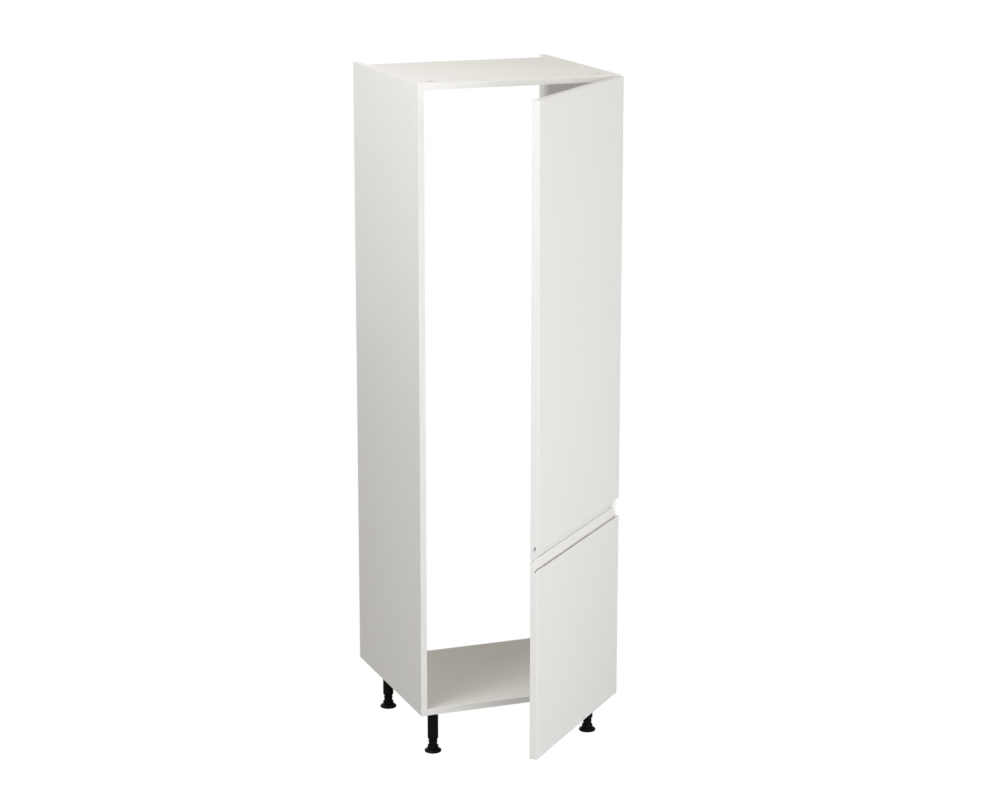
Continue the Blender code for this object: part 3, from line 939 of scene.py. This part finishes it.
@dataclass(frozen=True)
class Pull:
    """A J pull: how far its lip ends below the leaf, its channel's depth and the radius of its floor."""

    lip_drop: float
    depth: float
    radius: float


PULLS = {
    Level.UPPER: Pull(lip_drop=0.0285, depth=0.0125, radius=0.0034),
    Level.LOWER: Pull(lip_drop=0.0235, depth=0.0072, radius=0.0027),
}


def set_back(run: float, radius: float) -> float:
    """How far a rounding has moved a face in, at a distance from the edge."""
    return radius - math.sqrt(max(radius**2 - (radius - run) ** 2, 0.0)) if run < radius else 0.0


@dataclass
class PullDoor:
    """A lacquered door with a J pull along one end and a pocket for each hinge cup."""

    workshop: Workshop
    level: Level
    axis: Vector
    open_angle: float = math.radians(45.0)
    width: float = 0.597
    thickness: float = 0.022
    axis_from_edge: float = 0.0072
    axis_from_back: float = 0.014
    lip: float = 0.0055
    lip_ease: float = 0.0014
    leaf: float = 0.004
    arris: float = 0.0012
    back_arris: float = 0.0008
    corner_steps: int = CORNER_STEPS
    channel_steps: int = 18
    cup_radius: float = 0.0173
    cup_depth: float = 0.0125
    cup_from_edge: float = 0.0225

    def stand(self) -> Matrix:
        """Where the door's own frame stands: its origin on the turning axis at the door's lower edge."""
        return Matrix.Translation(self.axis) @ Matrix.Rotation(self.open_angle, 4, "Z")

    def cup_x(self) -> float:
        """The cups' middle along the door's width, from the turning axis."""
        return self.axis_from_edge - self.cup_from_edge

    def section(self, height: float) -> Outline:
        """The door's section with the J pull at the top.

        A narrow channel runs behind the lip. From its floor the back wall leans out to the thin end of the
        leaf.

        Args:
            height: The door's height.

        Returns:
            Points as (depth from the front, rise).
        """
        pull, steps, ease = PULLS[self.level], self.corner_steps, self.lip_ease
        inner, lip_top = self.thickness - self.leaf, height - pull.lip_drop
        centre = (self.lip + pull.radius, lip_top - pull.depth + pull.radius)
        run, rise = inner - centre[0], height - self.back_arris - centre[1]
        lean = math.atan2(run, rise) - math.asin(pull.radius / math.hypot(run, rise))
        outline = arc((self.arris, self.arris), self.arris, -QUARTER, -math.pi, steps)
        outline += arc((ease, lip_top - ease), ease, math.pi, QUARTER, steps)
        outline += arc((self.lip - ease, lip_top - ease), ease, QUARTER, 0.0, steps)
        outline += arc(centre, pull.radius, math.pi, math.tau - lean, self.channel_steps)
        ease, back = self.back_arris, self.thickness - self.back_arris
        outline += arc((inner + ease, height - ease), ease, math.pi, QUARTER, steps)
        outline += arc((back, height - ease), ease, QUARTER, 0.0, steps)
        outline += arc((back, ease), ease, 0.0, -QUARTER, steps)
        return outline

    def stations(self) -> list[tuple[float, float, float]]:
        """The places along the width where the section is drawn.

        Returns:
            Each as (distance from the edge of the door's free end, front set-back, back set-back).
        """
        turns = [QUARTER * step / self.corner_steps for step in range(self.corner_steps + 1)]
        radii = (self.arris, self.back_arris)
        near = sorted({radius * (1 - math.cos(turn)) for radius in radii for turn in turns})
        ends = [(run, set_back(run, self.arris), set_back(run, self.back_arris)) for run in near]
        return ends + [(self.width - run, front, back) for run, front, back in reversed(ends)]

    def slab(self, height: float) -> Shape:
        """The door's body in its own frame, lofted through its stations.

        Args:
            height: The door's height.

        Returns:
            The closed body, with its pull on the end that meets the other door.
        """
        section = self.section(height)
        if self.level is Level.UPPER:
            section = [(depth, height - rise) for depth, rise in section]
        shape = bmesh.new()
        rings = []
        for run, front, back in self.stations():
            x = self.axis_from_edge - self.width + run
            ring = []
            for depth, rise in section:
                depth = min(max(depth, front), self.thickness - back)
                ring.append(shape.verts.new((x, self.axis_from_back - self.thickness + depth, rise)))
            rings.append(ring)
        for ring, following in zip(rings, rings[1:]):
            for here, there in zip(range(len(ring)), [*range(1, len(ring)), 0]):
                shape.faces.new((ring[here], ring[there], following[there], following[here]))
        shape.faces.new(rings[0])
        shape.faces.new(rings[-1])
        bmesh.ops.remove_doubles(shape, verts=shape.verts, dist=MERGE_DISTANCE)
        return shape

    def build(self, hinge_heights: Sequence[float], height: float) -> None:
        """Builds the door.

        Args:
            hinge_heights: The cups' heights above the door's lower edge.
            height: The door's height.
        """
        pockets = []
        for rise in hinge_heights:
            hole = peg(self.cup_radius + RUNNING_GAP, -OVERRUN, self.cup_depth + RUNNING_GAP, ROUND_STEPS)
            pockets.append(placed(hole, facing((0.0, -1.0, 0.0), (self.cup_x(), self.axis_from_back, rise))))
        shape = placed(carved(self.slab(height), pockets), self.stand())
        name = self.level.value + "_door"
        self.workshop.mount(name + "_front", shape, name, Slot.DOOR, name)


@dataclass
class Buffer:
    """A clear domed buffer on a door's back."""

    workshop: Workshop
    radius: float = 0.0040
    height: float = 0.0014
    rim: float = 0.55
    rises: int = 8
    steps: int = 32

    def build(self, node: str, body: str, direction: Vector) -> None:
        """Builds the buffer of one node.

        Args:
            node: The node that it stands for.
            body: The door that carries it.
            direction: The way the door's back faces.
        """
        foot = middle_of(node) - direction * self.height / 2
        shape = domed(self.radius, self.height, self.rim, self.rises, self.steps)
        self.workshop.mount(node + "_dome", placed(shape, facing(direction, foot)), body, Slot.BUFFER, node)


@dataclass(frozen=True)
class Screw:
    """The pan head of a screw, with a cross."""

    radius: float = 0.0036
    height: float = 0.0015
    rim: float = 0.3
    rises: int = 5
    steps: int = 28
    cross_length: float = 0.0044
    cross_width: float = 0.0009
    cross_depth: float = 0.0010

    def shape(self, place: Matrix) -> Shape:
        """Builds the head.

        Args:
            place: Where it sits, on the place's own XY plane.

        Returns:
            The head as a shape.
        """
        head = domed(self.radius, self.height, self.rim, self.rises, self.steps)
        floor, top = self.height - self.cross_depth, self.height * 2
        return placed(crossed(head, self.cross_length, self.cross_width, floor, top), place)


@dataclass
class Hinge:
    """One concealed hinge: the cup in the door, the link, the arm on the side panel and its plate."""

    workshop: Workshop
    door: PullDoor
    number: int
    cup_wall: float = 0.0013
    bowl_corner: float = 0.003
    bowl_steps: int = 56
    bend_steps: int = 5
    lip_steps: int = 3
    flange: float = 0.0012
    flange_rim: float = 0.0012
    wing_width: float = 0.022
    wing_reach: float = 0.031
    wing_corner: float = 0.005
    wing_screw: float = 0.0245
    pin_radius: float = 0.0015
    pin_offset: float = 0.009
    pin_depth: float = 0.006
    link_length: float = 0.048
    link_thickness: float = 0.0024
    link_ease: float = 0.0004
    eye_radius: float = 0.0032
    tail_radius: float = 0.003
    tail_from_panel: float = 0.0195
    end_steps: int = 24
    sheet: float = 0.0016
    sheet_ease: float = 0.0002
    arm_corner: float = 0.0022
    arm_screws: tuple[float, float] = (0.24, 0.62)
    stamped_ease: float = 0.0003
    plate_corner: float = 0.003
    plate_half_width: float = 0.009
    plate_wing_corner: float = 0.0048
    plate_wing_length: float = 0.014
    plate_wing_from_door: float = 0.039
    plate_screw: float = 0.0165
    ease_steps: int = 2
    screw: Screw = Screw()

    def box(self, kind: str) -> Sequence[Vector]:
        """The lowest and highest corners of one of the hinge's solids."""
        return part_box(f"hinge_{kind}_{self.door.level.value}_{self.number}")

    def height(self) -> float:
        """The hinge's height above the floor."""
        low, high = self.box("arm")
        return (low.z + high.z) / 2

    def build(self) -> None:
        """Builds every piece of the hinge."""
        self.build_cup()
        self.build_link()
        self.build_arm()
        self.build_plate()

    def mount(self, kind: str, make: str, shape: Shape, body: str) -> None:
        """Gives a piece its name, after its node and its make, and mounts it."""
        node = f"hinge_{kind}_{self.door.level.value}_{self.number}"
        self.workshop.mount(f"{node}_{make}", shape, body, Slot.NICKEL, node)

    def door_place(self, x: float, y: float) -> Matrix:
        """A place in the door's own frame at the hinge's height, as a matrix in the frame's coordinates."""
        return self.door.stand() @ Matrix.Translation((x, y, self.height() - self.door.axis.z))

    def side_screws(self, x: float, spots: Iterable[tuple[float, float]]) -> list[Shape]:
        """Screws that look into the niche from a given X, each at its (y, z)."""
        return [self.screw.shape(facing((-1.0, 0.0, 0.0), (x, y, z))) for y, z in spots]

    def build_cup(self) -> None:
        """Builds the pressed cup with its winged flange, its pin and its two screws."""
        radius, depth, corner = self.door.cup_radius, self.door.cup_depth, self.bowl_corner
        inner, top, lip = radius - self.cup_wall, RUNNING_GAP + self.flange, self.flange / 2
        bowl = [(0.0, -depth)]
        bowl += arc((radius - corner, corner - depth), corner, -QUARTER, 0.0, self.bend_steps)
        bowl += [(radius, RUNNING_GAP), (radius + self.flange_rim, RUNNING_GAP)]
        bowl += arc((radius + self.flange_rim - lip, top - lip), lip, 0.0, QUARTER, self.lip_steps)
        bowl += arc((inner + lip, top - lip), lip, QUARTER, math.pi, self.lip_steps)
        within = (inner - corner, self.cup_wall - depth + corner)
        bowl += arc(within, corner, 0.0, -QUARTER, self.bend_steps)
        bowl += [(0.0, self.cup_wall - depth)]
        half, reach = self.wing_width / 2, self.wing_reach
        wings = extruded(rounded_rectangle((-half, -reach), (half, reach), self.wing_corner), self.flange)
        wings = rounded(wings, self.stamped_ease, self.ease_steps)
        wings = placed(wings, Matrix.Translation((0.0, 0.0, RUNNING_GAP)))
        hole = peg(radius, -self.flange, top + self.flange, ROUND_STEPS)
        span = math.sqrt(inner**2 - self.pin_offset**2) + self.cup_wall / 2
        seat = facing((0.0, 1.0, 0.0), (-self.pin_offset, 0.0, -self.pin_depth))
        pin = placed(peg(self.pin_radius, -span, span, PIN_STEPS), seat)
        shapes = [turned(bowl, self.bowl_steps), carved(wings, [hole]), pin]
        for y in (-self.wing_screw, self.wing_screw):
            shapes.append(self.screw.shape(Matrix.Translation((0.0, y, top))))
        face = self.door_place(self.door.cup_x(), self.door.axis_from_back)
        whole = placed(gathered(shapes), face @ Matrix.Rotation(-QUARTER, 4, "X"))
        self.mount("cup", "pressed", whole, self.door.level.value + "_door")

    def build_link(self) -> None:
        """Builds the link from the cup's pin to the arm, with eased edges."""
        low, high = self.box("link")
        height, thin = high.z - low.z, self.link_thickness / 2
        eye, tail = math.asin(thin / self.eye_radius), math.asin(thin / self.tail_radius)
        outline = arc((0.0, 0.0), self.eye_radius, eye, math.tau - eye, self.end_steps)
        far = (self.link_length, 0.0)
        outline += arc(far, self.tail_radius, tail - math.pi, math.pi - tail, self.end_steps)
        shape = rounded(extruded(outline, height), self.link_ease, self.ease_steps)
        bore = peg(self.pin_radius + RUNNING_GAP, -height, height * 2, PIN_STEPS)
        shape = placed(carved(shape, [bore]), Matrix.Translation((0.0, 0.0, -height / 2)))
        pin_y = self.door.axis_from_back - self.pin_depth
        pin = self.door_place(self.door.cup_x() - self.pin_offset, pin_y).translation
        tail_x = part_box("side_panel_right")[0].x - self.tail_from_panel
        lean = math.acos((tail_x - pin.x) / self.link_length)
        stand = Matrix.Translation(pin) @ Matrix.Rotation(lean, 4, "Z")
        self.mount("link", "eased", placed(shape, stand), self.door.level.value + "_links")

    def build_arm(self) -> None:
        """Builds the folded arm, open to the side panel, with its two adjusting screws."""
        low, high = self.box("arm")
        wide, tall, length = high.x - low.x, (high.z - low.z) / 2, high.y - low.y
        corner, sheet = self.arm_corner, self.sheet
        outline = [(wide, -tall), (wide, sheet - tall)]
        outline += arc((corner, corner - tall), corner - sheet, -QUARTER, -math.pi, self.bend_steps)
        outline += arc((corner, tall - corner), corner - sheet, math.pi, QUARTER, self.bend_steps)
        outline += [(wide, tall - sheet), (wide, tall)]
        outline += arc((corner, tall - corner), corner, QUARTER, math.pi, CORNER_STEPS)
        outline += arc((corner, corner - tall), corner, -math.pi, -QUARTER, CORNER_STEPS)
        shape = rounded(extruded(outline, length), self.sheet_ease, self.ease_steps)
        shape = placed(shape, Matrix.Rotation(QUARTER, 4, "X"))
        shape = placed(shape, Matrix.Translation((low.x, high.y, self.height())))
        spots = [(low.y + length * share, self.height()) for share in self.arm_screws]
        self.mount("arm", "folded", gathered([shape, *self.side_screws(low.x, spots)]), "carcass")

    def build_plate(self) -> None:
        """Builds the winged mounting plate with its two screws."""
        low, high = self.box("plate")
        wide, reach, z = high.x - low.x, (high.z - low.z) / 2, self.height()
        middle = self.door.axis.y + self.door.axis_from_back + self.plate_wing_from_door
        half, bar = self.plate_wing_length / 2, self.plate_half_width
        base = rounded_rectangle((low.y, -bar), (high.y, bar), self.plate_corner)
        wing = rounded_rectangle((middle - half, -reach), (middle + half, reach), self.plate_wing_corner)
        whole = carved(extruded(base, wide), [extruded(wing, wide)], Carving.WELD)
        # The outlines' x and y run along Y and Z, and the thickness along X.
        upright = Matrix(((0.0, 0.0, 1.0), (1.0, 0.0, 0.0), (0.0, 1.0, 0.0))).to_4x4()
        shape = rounded(whole, self.stamped_ease, self.ease_steps)
        shape = placed(shape, Matrix.Translation((low.x, 0.0, z)) @ upright)
        spots = [(middle, z - self.plate_screw), (middle, z + self.plate_screw)]
        self.mount("plate", "pressed", gathered([shape, *self.side_screws(low.x, spots)]), "carcass")


@dataclass
class Leg:
    """An adjustable leg: the socket under the panel, the sleeve, and the foot with its beaded stem."""

    workshop: Workshop
    ending: str
    steps: int = 72
    curve_steps: int = 8
    rim_steps: int = 4
    bend_steps: int = 5
    flange: float = 0.004
    flange_ease: float = 0.0008
    spigot_radius: float = 0.0134
    sleeve_wall: float = 0.0018
    sleeve_ease: float = 0.0013
    foot_rim: float = 0.0058
    rim_ease: float = 0.0018
    fullness: float = 0.4
    shoulder: float = 0.0096
    collar: float = 0.0198
    collar_radius: float = 0.0158
    collar_ease: float = 0.0016
    first_crest: float = 0.0308
    flutes: int = 18
    flute_depth: float = 0.0006
    root_radius: float = 0.012
    crest_radius: float = 0.0134
    pitch: float = 0.0085
    crest_width: float = 0.0045
    screw_circle: float = 0.022
    screws: int = 4
    screw: Screw = Screw()

    def build(self) -> None:
        """Builds the leg's three pieces."""
        self.build_socket()
        self.build_sleeve()
        self.build_foot()

    def extent(self, kind: str) -> tuple[float, float, float]:
        """The radius, the lowest and the highest Z of one of the leg's three solids."""
        low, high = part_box(f"leg_{kind}_{self.ending}")
        return (high.x - low.x) / 2, low.z, high.z

    def mount(self, kind: str, shape: Shape, body: str = "carcass") -> None:
        """Stands a piece on the leg's axis and mounts it.

        Args:
            kind: Socket, sleeve or foot, as in the node's name.
            shape: The piece's shape about Z, which is used up.
            body: The body that carries it.
        """
        node = f"leg_{kind}_{self.ending}"
        axis = middle_of("leg_foot_" + self.ending)
        shape = placed(shape, Matrix.Translation((axis.x, axis.y, 0.0)))
        self.workshop.mount(node + "_moulded", shape, body, Slot.PLASTIC, node)

    def build_socket(self) -> None:
        """Builds the socket with the screws that hold it, in a circle."""
        radius, bottom, top = self.extent("socket")
        spigot, ease, under = self.spigot_radius, self.flange_ease, top - self.flange
        profile = [(0.0, bottom), (spigot - ease, bottom), (spigot, bottom + ease), (spigot, under)]
        profile += arc((radius - ease, under + ease), ease, -QUARTER, 0.0, self.rim_steps)
        profile += [(radius, top), (0.0, top)]
        shapes = [turned(profile, self.steps)]
        for number in range(self.screws):
            turn = math.tau * (number + 0.5) / self.screws
            place = (self.screw_circle * math.cos(turn), self.screw_circle * math.sin(turn), under)
            shapes.append(self.screw.shape(facing((0.0, 0.0, -1.0), place)))
        self.mount("socket", gathered(shapes))

    def build_sleeve(self) -> None:
        """Builds the sleeve, eased at its lower end."""
        radius, bottom, top = self.extent("sleeve")
        bore, ease = radius - self.sleeve_wall, self.sleeve_ease
        profile = [(bore, bottom)]
        profile += arc((radius - ease, bottom + ease), ease, -QUARTER, 0.0, self.bend_steps)
        profile += [(radius, top), (bore, top)]
        self.mount("sleeve", turned(profile, self.steps))

    def flare(self, reach: float) -> Outline:
        """The slope from the disc's rim up to the collar.

        With a fullness of 0 it is straight, and with 1 a quarter of an ellipse.

        Args:
            reach: How far it starts outside the collar.

        Returns:
            Its points after the first, as (radius, height).
        """
        profile: Outline = []
        for step in range(1, self.curve_steps + 1):
            turn, share = QUARTER * step / self.curve_steps, step / self.curve_steps
            out = 1 - share + self.fullness * (math.cos(turn) - 1 + share)
            rise = share + self.fullness * (math.sin(turn) - share)
            height = self.foot_rim + (self.shoulder - self.foot_rim) * rise
            profile.append((self.collar_radius + reach * out, height))
        return profile

    def stem(self, top: float) -> Outline:
        """The beaded stem from the collar up.

        Args:
            top: The height of its upper end.

        Returns:
            Its profile as (radius, height).
        """
        profile: Outline = [(self.root_radius, self.collar)]
        height, rise = self.first_crest, self.crest_radius - self.root_radius
        while height + self.pitch < top:
            for step in range(self.curve_steps + 1):
                turn = math.pi * step / self.curve_steps
                out = self.root_radius + rise * math.sin(turn)
                profile.append((out, height - self.crest_width / 2 * math.cos(turn)))
            height += self.pitch
        return profile + [(self.root_radius, top), (0.0, top)]

    def build_foot(self) -> None:
        """Builds the disc, the fluted collar and the stem."""
        radius, _, top = self.extent("foot")
        rim, ease, soft = radius - self.rim_ease, self.rim_ease, self.collar_ease
        profile = [(0.0, 0.0)]
        profile += arc((rim, ease), ease, -QUARTER, 0.0, self.rim_steps)
        profile += arc((rim, self.foot_rim - ease), ease, 0.0, QUARTER, self.rim_steps)
        profile += self.flare(rim - self.collar_radius)
        crest = (self.collar_radius - soft, self.collar - soft)
        profile += arc(crest, soft, 0.0, QUARTER, self.bend_steps)
        shape = turned(profile + self.stem(top), self.steps)
        for vert in shape.verts:
            out, at_collar = vert.co.xy.length, self.shoulder - MERGE_DISTANCE <= vert.co.z < self.collar
            if at_collar and out > self.root_radius + MERGE_DISTANCE:
                wave = (1 - math.cos(self.flutes * math.atan2(vert.co.y, vert.co.x))) / 2
                vert.co.xy *= 1 - self.flute_depth * wave / out
        self.mount("foot", shape, "foot_" + self.ending)


# Studio


@dataclass
class SoftBox:
    """A large soft lamp that looks at the cabinet's middle. Without shine it leaves no highlight."""

    name: str
    azimuth: float
    elevation: float
    distance: float
    size: float
    power: float
    colour: Colour = (0.925, 0.942, 1.0)
    aim: tuple[float, float, float] = (0.0, -0.1, 1.0)
    shine: bool = True

    def build(self) -> None:
        """Hangs the lamp, which lights the cabinet but isn't seen itself.

        Azimuth 0 is in front of the cabinet and 90 on its right. Both angles are in degrees.
        """
        light = bpy.data.lights.new(self.name, "AREA")
        light.shape = "SQUARE"
        light.size = self.size
        light.energy = self.power
        light.color = self.colour
        turn, rise = math.radians(self.azimuth), math.radians(self.elevation)
        away = Vector((math.sin(turn) * math.cos(rise), -math.cos(turn) * math.cos(rise), math.sin(rise)))
        lamp = added(self.name, light)
        lamp.location = Vector(self.aim) + away * self.distance
        lamp.rotation_euler = away.to_track_quat("Z", "Y").to_euler()
        lamp.visible_camera = False
        lamp.visible_glossy = self.shine


def white_to_camera(tree: bpy.types.NodeTree, seen: str, felt: str, colour: Colour, end: str) -> None:
    """Makes a material or a world show white to the camera and another colour to everything else.

    Args:
        tree: Its node tree, which is emptied first.
        seen: The kind of shader for the camera.
        felt: The kind for everything else.
        colour: The colour for everything else.
        end: The kind of output.
    """
    tree.nodes.clear()
    graph = Graph(tree)
    shown, light = graph.add(seen, Color=(1.0, 1.0, 1.0, 1.0)), graph.add(felt, Color=(*colour, 1.0))
    mix = graph.add("MixShader", Fac=graph.add("LightPath").outputs["Is Camera Ray"])
    graph.feed(mix.inputs[1], light.outputs[0])
    graph.feed(mix.inputs[2], shown.outputs[0])
    graph.add(end, Surface=mix.outputs[0])


@dataclass
class Studio:
    """The pale floor, the soft light and the camera."""

    camera_place: tuple[float, float, float] = (-2.7104, -6.9023, 2.813)
    camera_yaw: float = math.radians(21.067)
    camera_pitch: float = math.radians(-13.644)
    camera_roll: float = math.radians(0.046)
    focal_share: float = 2680.0 / 990.0
    sensor: float = 36.0
    sight: float = 100.0
    floor_half: float = 30.0
    floor_drop: float = 0.026
    floor_colour: Colour = (0.30, 0.30, 0.30)
    ambient: Colour = (0.236, 0.204, 0.153)
    # Each lamp's name, azimuth, elevation, distance, size and power.
    lamps: tuple[SoftBox, ...] = (
        SoftBox("front", 0.0, 4.0, 5.0, 3.0, 145.0, shine=False),
        SoftBox("right_front", 45.0, 12.0, 4.0, 2.0, 92.0, shine=False),
        SoftBox("left_front", -60.0, 22.0, 5.0, 3.0, 70.0, shine=False),
        SoftBox("raised_left", -75.0, 42.0, 4.0, 2.0, 42.0),
        SoftBox("high_left", -90.0, 68.0, 4.0, 2.0, 91.0),
        SoftBox("behind", 180.0, 2.0, 6.0, 3.0, 76.0),
        SoftBox("right_rear", 142.0, 12.0, 5.0, 3.0, 36.0, shine=False),
    )

    def build(self) -> None:
        """Builds the whole studio."""
        self.build_camera()
        self.build_floor()
        self.build_surroundings()
        for lamp in self.lamps:
            lamp.build()

    def build_camera(self) -> None:
        """Stands the camera where the photograph was taken from."""
        data = bpy.data.cameras.new("camera")
        data.sensor_width = self.sensor
        data.lens = self.sensor * self.focal_share
        data.clip_end = self.sight
        yaw, pitch = self.camera_yaw, self.camera_pitch
        look = Vector((math.sin(yaw) * math.cos(pitch), math.cos(yaw) * math.cos(pitch), math.sin(pitch)))
        turn = look.to_track_quat("-Z", "Y").to_matrix().to_4x4()
        roll = Matrix.Rotation(self.camera_roll, 4, "Z")
        camera = added("camera", data)
        camera.matrix_world = Matrix.Translation(self.camera_place) @ turn @ roll
        bpy.context.scene.camera = camera

    def build_floor(self) -> None:
        """Lays the pale floor, which shows white and throws only a little light back.

        It lies just under the lowest reach of the feet, so it doesn't hide them when they are screwed out.
        """
        shape = bmesh.new()
        bmesh.ops.create_grid(shape, x_segments=1, y_segments=1, size=self.floor_half)
        floor = added("floor", as_mesh(shape, "floor"))
        floor.location.z = -self.floor_drop
        material = bpy.data.materials.new("pale_floor")
        material.use_nodes = True
        white_to_camera(material.node_tree, "Emission", "BsdfDiffuse", self.floor_colour, "OutputMaterial")
        floor.data.materials.append(material)

    def build_surroundings(self) -> None:
        """Sets the white backdrop and the even light of the room."""
        world = bpy.data.worlds.new("studio")
        world.use_nodes = True
        bpy.context.scene.world = world
        white_to_camera(world.node_tree, "Background", "Background", self.ambient, "OutputWorld")
        view = bpy.context.scene.view_settings
        view.view_transform = "Standard"
        view.look = "None"
        view.exposure = 0.0
        view.gamma = 1.0


# The whole cabinet


def hinge_numbers(nodes: dict[str, bpy.types.Object], level: Level) -> list[int]:
    """The numbers of the hinges of one door, from the lowest up."""
    start = "hinge_cup_" + level.value + "_"
    return sorted(int(name.removeprefix(start)) for name in nodes if name.startswith(start))


def build_doors(workshop: Workshop, nodes: dict[str, bpy.types.Object], joints: Sequence[dict]) -> None:
    """Builds both doors with their hinges and buffers.

    Args:
        workshop: Where the pieces are made.
        nodes: The frame's solids by name.
        joints: The frame's joints, which give the doors' axes.
    """
    for level in Level:
        name = level.value + "_door"
        joint = next(joint for joint in joints if joint["child"] == name)
        low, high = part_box(name)
        axis = Vector((joint["pos_m"][0], joint["pos_m"][1], low.z))
        door = PullDoor(workshop, level, axis)
        heights = []
        for number in hinge_numbers(nodes, level):
            hinge = Hinge(workshop, door, number)
            heights.append(hinge.height() - low.z)
            hinge.build()
        door.build(heights, high.z - low.z)
        back = door.stand().to_3x3() @ Vector((0.0, 1.0, 0.0))
        for place in ("bottom", "top"):
            Buffer(workshop).build(f"door_buffer_{level.value}_{place}", name, back)


def main() -> None:
    """Dresses the cabinet and sets up the studio."""
    logging.basicConfig(level=logging.INFO, format="%(message)s")
    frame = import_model()
    nodes = frame["nodes"]
    workshop = Workshop(build_materials(front=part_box("side_panel_left")[0].y))
    Carcass(workshop, nodes).build()
    build_doors(workshop, nodes, frame["joints"])
    for row in ("front", "rear"):
        for side in ("left", "right"):
            Leg(workshop, f"{row}_{side}").build()
    Studio().build()
    log.info("%d pieces made", workshop.count)


if __name__ == "__main__":
    main()
